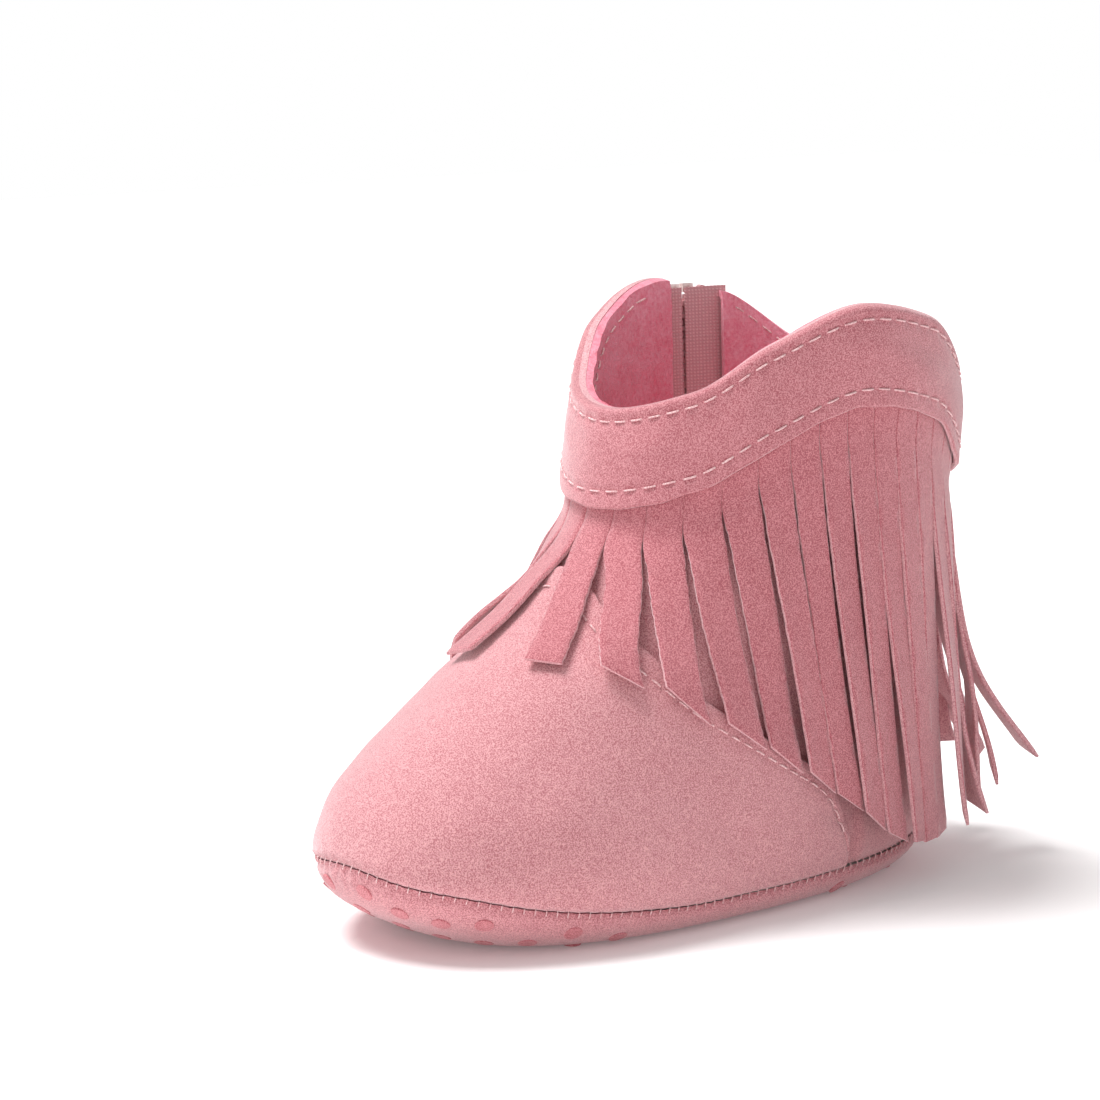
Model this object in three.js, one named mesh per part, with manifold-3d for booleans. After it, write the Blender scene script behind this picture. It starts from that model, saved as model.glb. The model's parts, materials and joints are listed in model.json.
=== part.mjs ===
// A soft-sole baby bootie for the left foot: suede-cloth upper with a wavy collar, a long cut fringe
// that hangs from under the collar, a zip on the inner side of the ankle and a dotted grip sole.
// Millimetres. +Z is up, the toe points to -Y and the outer side of the foot is +X.
// The origin is on the ground, at the centre of the grip dot in the middle of the sole.
//
// Every layer is a shell at its own distance from one shared form, the shape the upper is made up round,
// so a change of the form moves all the layers together.
import * as THREE from "three";
import { mergeVertices } from "three/addons/utils/BufferGeometryUtils.js";
import Module from "manifold-3d";

const wasm = await Module();
wasm.setup();

// ---------------------------------------------------------------- driving sizes

// The form: reach of the foot and of the shaft from the origin, widths and heights.
const toeReach = 62.5;
const heelReach = 62;
const shaftFrontReach = 5.5;
const shaftBackReach = 67;
const ballWidth = 59;
const ankleWidth = 54;
const shaftWidth = 58;
const toeHeight = 15; // where the toe reaches furthest forward
const throatHeight = 68; // where the instep turns into the shaft
const sideHeight = 105; // collar peaks over the ankle bones
const frontHeight = 87;
const backHeight = 86;
const axisOffset = 27; // the shaft's upright axis, behind the origin

// Thicknesses of the materials.
const suede = 1;
const fringeSuede = 0.9;
const collarSuede = 1;
const fleece = 1.4;
const foam = 2.8;
const sockLiner = 1.5;
const tapeCloth = 0.6;
const thread = 0.5;

// Fits.
const gap = 0.3; // between two layers that lie on each other
const lap = 6; // the vamp lies this far over the quarters
const liningLap = 4;
const padding = 0.3; // loose space between the lining and the upper

// The collar, the fringe, the sole and the zip.
const collarDepth = 17.5;
const collarHold = 8; // how far the fringe's sewn edge runs up under the collar
const slitDropFront = 3.5; // where the slits start below the collar
const slitDropSide = 1.2;
const stripCount = 34;
const frontStripWider = 0.22; // the strips over the instep are wider by this share
const slit = 0.45;
const stripSwing = 70; // degrees that a strip lifts
const seamHeightToe = 14.5;
const seamHeight = 4.6;
const seamGroove = 1.3;
const dotDiameter = 3.3;
const dotHeight = 0.5;
const dotRow = 5.05; // between rows
const dotPitch = 10.1; // along a row; every second row is half a pitch along
const zipAngle = -103; // degrees round the shaft from the toe, towards the outer side
const zipBottom = 43;
const zipOpening = 4; // half the gap between the upper's edges
const collarOpening = 4.6; // half the gap in the collar and in the lining
const fringeOpening = 7;
const tapeHalf = 9;
const toothPitch = 2.3;
const toothWidth = 0.85;
const sliderLength = 8;

// ---------------------------------------------------------------- the form

const radians = THREE.MathUtils.degToRad;
const degrees = THREE.MathUtils.radToDeg;

// A smooth curve through [station, value] knots that never overshoots them.
function through(knots) {
  const rise = knots.slice(1).map(([s, v], i) => (v - knots[i][1]) / (s - knots[i][0]));
  const slope = knots.map((knot, i) => {
    if (i === 0) return rise[0];
    if (i === knots.length - 1) return rise[i - 1];
    const [a, b] = [rise[i - 1], rise[i]];
    return a * b <= 0 ? 0 : (2 * a * b) / (a + b);
  });
  return (station) => {
    const last = knots.length - 1;
    const s = Math.min(Math.max(station, knots[0][0]), knots[last][0]);
    let i = 0;
    while (i < last - 1 && s > knots[i + 1][0]) i += 1;
    const h = knots[i + 1][0] - knots[i][0];
    const t = (s - knots[i][0]) / h;
    const near = (1 + 2 * t) * (1 - t) ** 2 * knots[i][1] + t * (1 - t) ** 2 * h * slope[i];
    const far = t * t * (3 - 2 * t) * knots[i + 1][1] + t * t * (t - 1) * h * slope[i + 1];
    return near + far;
  };
}

// The same, for a height round the shaft: the angle is in radians from the toe, the knots are in
// degrees, both sides are alike, and the curve runs level through the front and the back.
function round(knots) {
  const last = knots.length - 1;
  const mirror = (place, knot) => [2 * place - knot[0], knot[1]];
  const curve = through([mirror(knots[0][0], knots[1]), ...knots, mirror(knots[last][0], knots[last - 1])]);
  return (phi) => curve(Math.abs(degrees(Math.atan2(Math.sin(phi), Math.cos(phi)))));
}

const smooth = (x) => THREE.MathUtils.smoothstep(x, 0, 1);

// Front line of the form: the toe curls in to the sole, then the instep climbs back to the shaft.
const climb = (share) => toeHeight + share * (throatHeight - toeHeight);
const back = (share) => -toeReach + share * (toeReach - shaftFrontReach - 3);
const frontLine = through([
  [0, -toeReach + 24],
  [0.13 * toeHeight, -toeReach + 16],
  [0.33 * toeHeight, -toeReach + 9.5],
  [0.67 * toeHeight, -toeReach + 2.5],
  [toeHeight, -toeReach],
  [climb(0.11), back(0.03)],
  [climb(0.245), back(0.14)],
  [climb(0.4), back(0.325)],
  [climb(0.55), back(0.54)],
  [climb(0.7), back(0.76)],
  [climb(0.85), back(0.91)],
  [throatHeight, back(1)],
  [sideHeight, -shaftFrontReach + 1.5],
]);
const backLine = through([
  [0, heelReach - 8],
  [2, heelReach - 4.5],
  [5, heelReach - 1.5],
  [12, heelReach],
  [28, heelReach - 0.3],
  [60, shaftBackReach - 3],
  [80, shaftBackReach - 0.6],
  [sideHeight, shaftBackReach],
]);
const halfWidth = through([
  [0, ballWidth / 2 - 8.5],
  [2, ballWidth / 2 - 3.8],
  [6, ballWidth / 2 - 1],
  [12, ballWidth / 2],
  [18, ballWidth / 2 - 0.3],
  [26, (ballWidth + ankleWidth) / 4],
  [38, ankleWidth / 2],
  [sideHeight, shaftWidth / 2],
]);
// How much wider a level is towards the toe, and how square its outline is.
const taper = through([[0, 0.13], [9, 0.13], [20, 0.1], [32, 0.03], [45, -0.02], [60, 0]]);
const squareness = through([[0, 0.82], [9, 0.84], [20, 0.88], [35, 0.95], [60, 0.97]]);

function outline(t, z) {
  const power = squareness(z);
  const c = Math.sign(Math.cos(t)) * Math.abs(Math.cos(t)) ** power;
  const q = Math.abs(Math.sin(t)) ** power;
  const [front, rear] = [frontLine(z), backLine(z)];
  return [halfWidth(z) * q * (1 + taper(z) * Math.cos(t)), (front + rear) / 2 - ((rear - front) / 2) * c];
}

// Distance from the shaft's axis to the form, at an angle from the toe.
function radiusAt(phi, z) {
  const angle = Math.abs(Math.atan2(Math.sin(phi), Math.cos(phi)));
  let [low, high] = [0, Math.PI];
  for (let i = 0; i < 34; i += 1) {
    const middle = (low + high) / 2;
    const [x, y] = outline(middle, z);
    if (Math.atan2(x, axisOffset - y) < angle) low = middle;
    else high = middle;
  }
  const [x, y] = outline((low + high) / 2, z);
  return Math.hypot(x, y - axisOffset);
}

function onForm(phi, z) {
  const r = radiusAt(phi, z);
  return new THREE.Vector3(r * Math.sin(phi), axisOffset - r * Math.cos(phi), z);
}

function normalAt(phi, z) {
  const along = onForm(phi + 0.002, z).sub(onForm(phi - 0.002, z));
  const up = onForm(phi, z + 0.1).sub(onForm(phi, z - 0.1));
  return along.cross(up).normalize();
}

// A point at a distance outside the form.
const at = (phi, z, distance) => onForm(phi, z).addScaledVector(normalAt(phi, z), distance);

// Stations round the form: half even in angle, for the shaft, and half even along the foot's outline.
const sweep = (() => {
  const count = 720;
  const angles = Array.from({ length: count + 1 }, (_, i) => -2 * Math.PI + (4 * Math.PI * i) / count);
  const lengths = [0];
  for (let i = 1; i <= count; i += 1) {
    const step = onForm(angles[i], toeHeight).distanceTo(onForm(angles[i - 1], toeHeight));
    lengths.push(lengths[i - 1] + step / ballWidth + (angles[i] - angles[i - 1]));
  }
  const read = (from, to, x) => {
    let i = from.findIndex((value) => value >= x);
    i = Math.max(1, i < 0 ? count : i);
    return to[i - 1] + ((to[i] - to[i - 1]) * (x - from[i - 1])) / (from[i] - from[i - 1]);
  };
  return (first, last, steps) => {
    const [a, b] = [read(angles, lengths, first), read(angles, lengths, last)];
    return Array.from({ length: steps + 1 }, (_, i) => read(lengths, angles, a + ((b - a) * i) / steps));
  };
})();

// ---------------------------------------------------------------- closed sheets and solids

function solid(vertices, faces) {
  const geometry = new THREE.BufferGeometry();
  const numbers = vertices.flatMap((v) => v.toArray());
  geometry.setAttribute("position", new THREE.Float32BufferAttribute(numbers, 3));
  let volume = 0;
  for (const [a, b, c] of faces) {
    volume += vertices[a].dot(new THREE.Vector3().crossVectors(vertices[b], vertices[c]));
  }
  geometry.setIndex(faces.flatMap(([a, b, c]) => (volume > 0 ? [a, b, c] : [a, c, b])));
  geometry.computeVertexNormals();
  return geometry;
}

// A closed sheet: place(i, j, side) gives the inner (side 0) and outer (side 1) point of each grid place.
function sheet(columns, rows, place) {
  const vertices = [];
  const index = [];
  for (let side = 0; side < 2; side += 1) {
    for (let i = 0; i <= columns; i += 1) {
      for (let j = 0; j <= rows; j += 1) {
        vertices.push(place(i, j, side));
      }
    }
  }
  const id = (i, j, side) => (side * (columns + 1) + i) * (rows + 1) + j;
  const quad = (a, b, c, d) => index.push([a, b, c], [a, c, d]);
  for (let i = 0; i < columns; i += 1) {
    for (let j = 0; j < rows; j += 1) {
      quad(id(i, j, 1), id(i + 1, j, 1), id(i + 1, j + 1, 1), id(i, j + 1, 1));
      quad(id(i, j, 0), id(i, j + 1, 0), id(i + 1, j + 1, 0), id(i + 1, j, 0));
    }
    quad(id(i, 0, 0), id(i + 1, 0, 0), id(i + 1, 0, 1), id(i, 0, 1));
    quad(id(i, rows, 1), id(i + 1, rows, 1), id(i + 1, rows, 0), id(i, rows, 0));
  }
  for (let j = 0; j < rows; j += 1) {
    quad(id(0, j, 1), id(0, j + 1, 1), id(0, j + 1, 0), id(0, j, 0));
    quad(id(columns, j, 0), id(columns, j + 1, 0), id(columns, j + 1, 1), id(columns, j, 1));
  }
  return solid(vertices, index);
}

// A stack of closed rings, ended by a fan at each end.
function rings(stack) {
  const vertices = stack.flat();
  const count = stack[0].length;
  const index = [];
  for (let k = 0; k + 1 < stack.length; k += 1) {
    for (let i = 0; i < count; i += 1) {
      const next = (i + 1) % count;
      const [a, b, c, d] = [k * count + i, k * count + next, (k + 1) * count + next, (k + 1) * count + i];
      index.push([a, b, c], [a, c, d]);
    }
  }
  const cap = (ring, base, flip) => {
    const centre = ring.reduce((sum, v) => sum.add(v), new THREE.Vector3()).divideScalar(count);
    const hub = vertices.push(centre) - 1;
    for (let i = 0; i < count; i += 1) {
      const [a, b] = [base + i, base + ((i + 1) % count)];
      index.push(flip ? [hub, b, a] : [hub, a, b]);
    }
  };
  cap(stack[0], 0, true);
  cap(stack[stack.length - 1], (stack.length - 1) * count, false);
  return solid(vertices, index);
}

function toManifold(geometry) {
  const bare = geometry.clone();
  bare.deleteAttribute("normal");
  bare.deleteAttribute("uv");
  const merged = mergeVertices(bare, 1e-4);
  const position = merged.attributes.position;
  const mesh = new wasm.Mesh({
    numProp: 3,
    vertProperties: new Float32Array(position.array),
    triVerts: new Uint32Array(merged.index.array),
  });
  return new wasm.Manifold(mesh);
}

function fromManifold(body) {
  const mesh = body.getMesh();
  const geometry = new THREE.BufferGeometry();
  geometry.setAttribute("position", new THREE.BufferAttribute(new Float32Array(mesh.vertProperties), 3));
  geometry.setIndex(new THREE.BufferAttribute(new Uint32Array(mesh.triVerts), 1));
  const flat = geometry.toNonIndexed();
  flat.computeVertexNormals();
  return flat;
}

const joined = (parts) => fromManifold(parts.map(toManifold).reduce((all, part) => all.add(part)));

// ---------------------------------------------------------------- materials

const cloth = (color, roughness) => new THREE.MeshStandardMaterial({ color, roughness, metalness: 0 });
const metal = (color) => new THREE.MeshStandardMaterial({ color, roughness: 0.35, metalness: 1 });
const looks = {
  upper: () => cloth(0xd98f97, 0.95),
  fringe: () => cloth(0xdb959b, 0.95),
  sole: () => cloth(0xd27f88, 0.95),
  lining: () => cloth(0xd2657a, 1),
  foam: () => cloth(0xf1ece4, 0.9),
  thread: () => cloth(0xecc3c2, 0.7),
  tape: () => cloth(0xe2b3b6, 0.85),
  coil: () => cloth(0xe3aab0, 0.45),
};

const bootie = new THREE.Group();
bootie.name = "baby_bootie";

function add(name, geometry, material, parent = bootie) {
  const mesh = new THREE.Mesh(geometry, material);
  mesh.name = name;
  parent.add(mesh);
  return mesh;
}

// ---------------------------------------------------------------- heights and edges round the shoe

const rim = round([
  [0, frontHeight],
  [30, frontHeight + 0.2 * (sideHeight - frontHeight)],
  [55, frontHeight + 0.64 * (sideHeight - frontHeight)],
  [90, sideHeight],
  [120, backHeight + 0.84 * (sideHeight - backHeight)],
  [150, backHeight + 0.26 * (sideHeight - backHeight)],
  [180, backHeight],
]);
const collarEdge = (phi) => rim(phi) - collarDepth;
const slitDrop = round([[0, slitDropFront], [95, slitDropSide], [180, slitDropSide]]);
const slitRoot = (phi) => collarEdge(phi) - slitDrop(phi);
const soleSeam = round([[0, seamHeightToe], [12, 11.5], [24, 6.8], [40, seamHeight], [180, seamHeight]]);
const upperFoot = (phi) => soleSeam(phi) + seamGroove;

// The vamp's back edge, from the front of the throat down to the sole on each side.
const vampEnd = radians(88);
const vampTuck = 7; // from the front slits down to the vamp's edge
const vampEdge = round([
  [0, frontHeight - collarDepth - slitDropFront - vampTuck],
  [24, 49],
  [40, 38],
  [56, 30],
  [76, 22],
  [84, 15],
  [88, 9],
  [91, -20],
  [180, -20],
]);
const lapAngle = radians(lap * 1.3);
const quarterFoot = (phi) => Math.max(upperFoot(phi), vampEdge(Math.abs(phi) + lapAngle) - lap / 3);

const zip = radians(zipAngle);
const across = (millimetres, z) => millimetres / radiusAt(zip, z);

// Distances of the layers from the form, inner face first.
const quarterLayer = [-gap / 2 - suede, -gap / 2];
const vampLayer = [gap / 2, gap / 2 + suede];
const soleLayer = vampLayer;
const headerLayer = [gap / 2, gap / 2 + fringeSuede];
const collarLayer = [headerLayer[1] + gap, headerLayer[1] + gap + collarSuede];
const vampLiningLayer = [-gap / 2 - padding - fleece, -gap / 2 - padding];
const tapeLayer = [quarterLayer[0] - gap - tapeCloth, quarterLayer[0] - gap];
const liningLayer = [vampLiningLayer[0] - gap - fleece, vampLiningLayer[0] - gap];
const coilLayer = [tapeLayer[1] + gap, quarterLayer[1] + 0.1];

// ---------------------------------------------------------------- sole

// Dotted suede outsole: a shallow cup whose wall turns up to the seam, with raised grip dots.
const dotBottom = 0;
const soleBottom = dotBottom + dotHeight;
const formFloor = soleBottom + suede + gap / 2;
const around = sweep(-Math.PI, Math.PI, 48).slice(0, 48);

function level(share, top, distance) {
  return around.map((phi) => at(phi, formFloor + share * (top(phi) - formFloor), distance));
}

function flatRing(height, distance, inset) {
  return around.map((phi) => {
    const p = at(phi, formFloor, distance);
    const centre = new THREE.Vector3(0, 2, height);
    return p.setZ(height).lerp(centre, inset);
  });
}

const cup = rings([
  flatRing(formFloor - gap / 2 + 0.02, soleLayer[0], 0.04),
  ...[0, 0.3, 0.65, 1].map((share) => level(share, soleSeam, soleLayer[0])),
  ...[1, 0.65, 0.3, 0].map((share) => level(share, soleSeam, soleLayer[1])),
  flatRing(soleBottom, soleLayer[1], 0.03),
]);

function dotCentres() {
  const centres = [];
  const rows = Math.ceil(toeReach / dotRow);
  for (let row = -rows; row <= rows; row += 1) {
    const shift = row % 2 === 0 ? 0 : dotPitch / 2;
    const across = Math.ceil(ballWidth / dotPitch);
    for (let k = -across; k <= across; k += 1) {
      const [x, y] = [k * dotPitch + shift, row * dotRow];
      const edge = at(Math.atan2(x, axisOffset - y), formFloor, 0);
      const reach = Math.hypot(edge.x, edge.y - axisOffset);
      if (Math.hypot(x, y - axisOffset) < reach - dotDiameter / 2 - 0.6) centres.push([x, y]);
    }
  }
  return centres;
}

const dots = dotCentres().map(([x, y]) => {
  const dot = new THREE.CylinderGeometry(dotDiameter / 2, dotDiameter / 2, dotHeight + 0.5, 8);
  return dot.rotateX(Math.PI / 2).translate(x, y, dotBottom + (dotHeight + 0.5) / 2);
});
add("outsole", joined([cup, ...dots]), looks.sole());

// Foam midsole and the sock liner on it, inside the cup.
const flatTop = (height) => () => height;
const foamTop = formFloor + gap + foam;
const linerTop = foamTop + gap + sockLiner;
function plug(bottom, top, distance) {
  return rings([bottom, top].map((height) => around.map((phi) => at(phi, height, distance).setZ(height))));
}
add("midsole_foam", plug(formFloor + gap, foamTop, -gap), looks.foam());
add("insole", plug(foamTop + gap, linerTop, quarterLayer[0] - 2 * gap), looks.lining());

// ---------------------------------------------------------------- upper

// A layer between two edges: first and last are angles or functions of height for slanted ends.
function layer(first, last, columns, rows, bottom, top, distances) {
  const stations = sweep(first, last, columns);
  const distance = typeof distances === "function" ? distances : () => distances;
  return sheet(columns, rows, (i, j, side) => {
    const phi = stations[i];
    const z = bottom(phi) + ((top(phi) - bottom(phi)) * j) / rows;
    return at(phi, z, distance(phi, z)[side]);
  });
}

// The vamp covers the toe and the instep, and laps over the quarters.
add("vamp", layer(-vampEnd, vampEnd, 32, 9, upperFoot, vampEdge, vampLayer), looks.upper());

// Quarters: one on the outer side, two on the inner side with the zip between them.
// They meet at the front under the fringe, at the back seam, and below the zip.
const seamHalf = gap / 2 / (shaftWidth / 2);
const rimEdge = (phi) => rim(phi) - 1;
add(
  "quarter_lateral",
  layer(seamHalf, Math.PI - seamHalf, 20, 9, quarterFoot, rimEdge, quarterLayer),
  looks.upper(),
);

// An inner quarter ends at the zip: above the zip's foot its edge stands clear of the teeth, and
// below it there is only the seam. One row of the sheet ends each side of that step.
const openingFoot = zipBottom - 1.5;
const rowsBelow = 4;
const rowsAbove = 8;
function zipQuarter(side, far, columns) {
  const [foot, head] = [quarterFoot(zip), rimEdge(zip)];
  const zipShare = (openingFoot - foot) / (head - foot);
  const stepShare = 0.8 / (head - foot);
  return sheet(columns, rowsBelow + 1 + rowsAbove, (i, j, face) => {
    const along = i / columns;
    const split = THREE.MathUtils.lerp(zipShare, 0.35, along);
    const above = j > rowsBelow;
    const low = split + stepShare;
    const share = above ? low + ((1 - low) * (j - rowsBelow - 1)) / rowsAbove : (split * j) / rowsBelow;
    let [phi, z] = [zip + (far - zip) * along, 0];
    for (let pass = 0; pass < 3; pass += 1) {
      z = quarterFoot(phi) + (rimEdge(phi) - quarterFoot(phi)) * share;
      const near = zip + side * across(above ? zipOpening : gap / 2, z);
      phi = near + (far - near) * along;
    }
    return at(phi, z, quarterLayer[face]);
  });
}
add("quarter_medial_front", zipQuarter(1, -seamHalf, 13), looks.upper());
add("quarter_medial_back", zipQuarter(-1, -Math.PI + seamHalf, 10), looks.upper());

// ---------------------------------------------------------------- lining

const liningFoot = linerTop + gap;
const vampLiningEnd = radians(70);
const vampLiningTop = (phi) => quarterFoot(phi) - 3 * gap;
add(
  "vamp_lining",
  layer(-vampLiningEnd, vampLiningEnd, 24, 7, flatTop(liningFoot), vampLiningTop, vampLiningLayer),
  looks.lining(),
);

// The shaft's fleece lining runs round from one side of the zip to the other.
const shaftLiningFoot = (phi) => {
  const overVamp = quarterFoot(phi) - liningLap;
  return Math.max(liningFoot, Math.abs(phi) < vampLiningEnd ? overVamp : liningFoot);
};
const zipWrap = 2 * Math.PI;
const wrapped = (f) => (phi) => f(Math.atan2(Math.sin(phi), Math.cos(phi)));

// Heights of a sheet's rows at an angle, evenly spaced between two edges.
const even = (rows, bottom, top) => (phi) =>
  Array.from({ length: rows + 1 }, (_, j) => bottom(phi) + ((top(phi) - bottom(phi)) * j) / rows);

function openRing(half, columns, levels, distances) {
  const heights = wrapped(levels);
  const distance = typeof distances === "function" ? distances : () => distances;
  const share = sweep(zip, zip + zipWrap, columns).map((phi) => (phi - zip) / zipWrap);
  return sheet(columns, heights(zip).length - 1, (i, j, face) => {
    let [phi, z] = [zip + zipWrap * share[i], 0];
    for (let pass = 0; pass < 3; pass += 1) {
      z = heights(phi)[j];
      const inset = across(half, z);
      phi = zip + inset + (zipWrap - 2 * inset) * share[i];
    }
    return at(phi, z, distance(phi, z)[face]);
  });
}
const nearZip = (phi) => {
  const off = Math.abs(Math.atan2(Math.sin(phi - zip), Math.cos(phi - zip)));
  return 1 - smooth((off - across(tapeHalf, sideHeight)) / 0.15);
};
const tapeFace = tapeLayer[0] - gap;
const pinchedFace = quarterLayer[0] - gap;
const pinchDepth = 13; // over this height below the rim the lining closes up to the quarters
add(
  "shaft_lining",
  openRing(collarOpening, 38, even(8, shaftLiningFoot, rimEdge), (phi, z) => {
    const pinch = smooth((z - rimEdge(phi)) / pinchDepth + 1);
    const loose = THREE.MathUtils.lerp(liningLayer[1], pinchedFace, pinch);
    const face = THREE.MathUtils.lerp(loose, Math.min(loose, tapeFace), nearZip(phi));
    return [face - fleece, face];
  }),
  looks.lining(),
);

// ---------------------------------------------------------------- collar and fringe

// The collar band lies over the fringe's sewn edge, and above it is turned in against the upper.
const headerTop = (phi) => collarEdge(phi) + collarHold;
const turnFoot = 0.5; // the band starts to turn in this far above the sewn edge
const collarTurn = 2.5;
const collarPinch = 0.7; // how much thinner the bundle of layers is at the rim
const collarLevels = (phi) => {
  const turned = headerTop(phi) + turnFoot + collarTurn;
  return [
    collarEdge(phi),
    collarEdge(phi) + collarHold / 2,
    headerTop(phi) + turnFoot,
    turned,
    (turned + rim(phi)) / 2,
    rim(phi),
  ];
};
add(
  "collar_band",
  openRing(collarOpening, 40, collarLevels, (phi, z) => {
    const turn = smooth((z - headerTop(phi) - turnFoot) / collarTurn);
    const pinch = smooth((z - rim(phi)) / (collarDepth - collarHold) + 1);
    return [THREE.MathUtils.lerp(collarLayer[0], gap / 2, turn), collarLayer[1] - collarPinch * pinch];
  }),
  looks.upper(),
);

// The fringe is one cut sheet. Its sewn edge is this header, and each hanging strip is a piece that
// turns about its own root, as the suede bends there.
add(
  "fringe_header",
  openRing(fringeOpening, 40, even(4, (phi) => slitRoot(phi) + gap / 2, headerTop), headerLayer),
  looks.fringe(),
);

// Height of the strips' cut ends, and how far they stand off the shoe at the end.
const stripEnd = round([
  [0, 44],
  [20, 42],
  [32, 37.5],
  [55, 27.5],
  [83, 17.5],
  [99, 13],
  [122, 8.5],
  [150, 7],
  [180, 12],
]);
const flare = round([[0, 0.6], [60, 1], [95, 2.5], [125, 4.5], [150, 9], [180, 12]]);
const stripRows = 9;
const stripClear = vampLayer[1] + thread + 3 * gap; // over the vamp and its stitching

// How far from a point, along a level direction, the form's surface is at another height.
function reachTo(start, direction, z) {
  let [low, high] = [-15, 90];
  for (let i = 0; i < 26; i += 1) {
    const s = (low + high) / 2;
    const [x, y] = [start.x + s * direction.x, start.y + s * direction.y];
    const inside = Math.hypot(x, y - axisOffset) < radiusAt(Math.atan2(x, axisOffset - y), z);
    if (inside) low = s;
    else high = s;
  }
  return low;
}

// Roots of the strips along the collar's lower edge, wider spaced over the instep.
function stripRoots() {
  const steps = 360;
  const inset = across(fringeOpening, slitRoot(zip));
  const angles = Array.from(
    { length: steps + 1 },
    (_, i) => zip + inset + ((zipWrap - 2 * inset) * i) / steps,
  );
  const flatPoint = (phi) => at(phi, slitRoot(phi), headerLayer[1]).setZ(0);
  const wider = (phi) => 1 + frontStripWider * smooth((radians(65) - Math.abs(phi)) / radians(30));
  const lengths = [0];
  const shares = [0];
  for (let i = 1; i <= steps; i += 1) {
    const step = flatPoint(angles[i]).distanceTo(flatPoint(angles[i - 1]));
    lengths.push(lengths[i - 1] + step);
    shares.push(shares[i - 1] + step / wider(angles[i]));
  }
  const readAt = (values, place) => {
    const total = shares[steps] / stripCount;
    const i = Math.max(1, shares.findIndex((value) => value >= place * total - 1e-9));
    const share = (place * total - shares[i - 1]) / (shares[i] - shares[i - 1]);
    return values[i - 1] + (values[i] - values[i - 1]) * share;
  };
  return Array.from({ length: stripCount }, (_, k) => ({
    left: readAt(angles, k),
    phi: readAt(angles, k + 0.5),
    right: readAt(angles, k + 1),
    width: readAt(lengths, k + 1) - readAt(lengths, k) - slit,
  }));
}

function fringeStrip({ left, phi, right, width }) {
  const top = slitRoot(phi) - 1.5 * gap;
  const tops = [left, right].map((edge) => slitRoot(edge) - 1.5 * gap);
  const root = at(phi, top, headerLayer[0]);
  const out = normalAt(phi, top).setZ(0).normalize();
  const side = new THREE.Vector3(-out.y, out.x, 0);
  const ends = [stripEnd(left), stripEnd(right)];
  const bottom = Math.min(...ends);
  const samples = 24;
  const stand = [];
  let furthest = 0;
  for (let k = 0; k <= samples; k += 1) {
    const share = k / samples;
    const z = top + (bottom - top) * share;
    const cover = smooth((top - z) / lap);
    const edges = [-0.5, 0, 0.5].map((place) => root.clone().addScaledVector(side, place * width));
    const reach = Math.max(...edges.map((start) => reachTo(start, out, z)));
    const under = root.clone().addScaledVector(out, reach);
    const lean = normalAt(Math.atan2(under.x, axisOffset - under.y), z).dot(out);
    furthest = Math.max(furthest, reach + (cover * stripClear) / Math.max(lean, 0.4));
    stand.push(furthest + flare(phi) * share ** 1.5);
  }
  const standAt = (z) => {
    const x = THREE.MathUtils.clamp((top - z) / (top - bottom), 0, 1) * samples;
    const k = Math.min(samples - 1, Math.floor(x));
    return stand[k] + (stand[k + 1] - stand[k]) * (x - k);
  };
  const geometry = sheet(1, stripRows, (i, j, face) => {
    const z = tops[i] + ((ends[i] - tops[i]) * j) / stripRows;
    const slant = (standAt(z - 1) - standAt(z + 1)) / 2;
    const length = Math.hypot(1, slant);
    const thick = face * fringeSuede;
    return root
      .clone()
      .addScaledVector(side, (i - 0.5) * width)
      .addScaledVector(out, standAt(z) + thick / length)
      .setZ(z - (j === 0 ? 0 : (thick * -slant) / length));
  });
  const hinge = root.clone().addScaledVector(out, fringeSuede);
  const axis = side.clone().multiplyScalar(-width).setZ(tops[0] - tops[1]).normalize();
  return { geometry, hinge, axis };
}

stripRoots().forEach((rootPlace, k) => {
  const { geometry, hinge, axis } = fringeStrip(rootPlace);
  const name = `fringe_strip_${String(k + 1).padStart(2, "0")}`;
  const strip = add(name, geometry.translate(-hinge.x, -hinge.y, -hinge.z), looks.fringe());
  strip.position.copy(hinge);
  strip.userData = { axis: axis.toArray(), swing: stripSwing };
});

// ---------------------------------------------------------------- zip

// Cloth tapes under the edges of the quarters, with a row of teeth on each.
const zipTop = rim(zip) - 1.5;
const tapeBottom = zipBottom - 2;
const tapeInner = gap / 2 + 0.1;
const spine = [1.0, 2.5]; // the row's solid edge, from the zip's centre line
const toothReach = 0.45; // how far a tooth passes the centre line

function zipPoint(offset, z, distance) {
  return at(zip + across(offset, z), z, distance);
}

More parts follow.
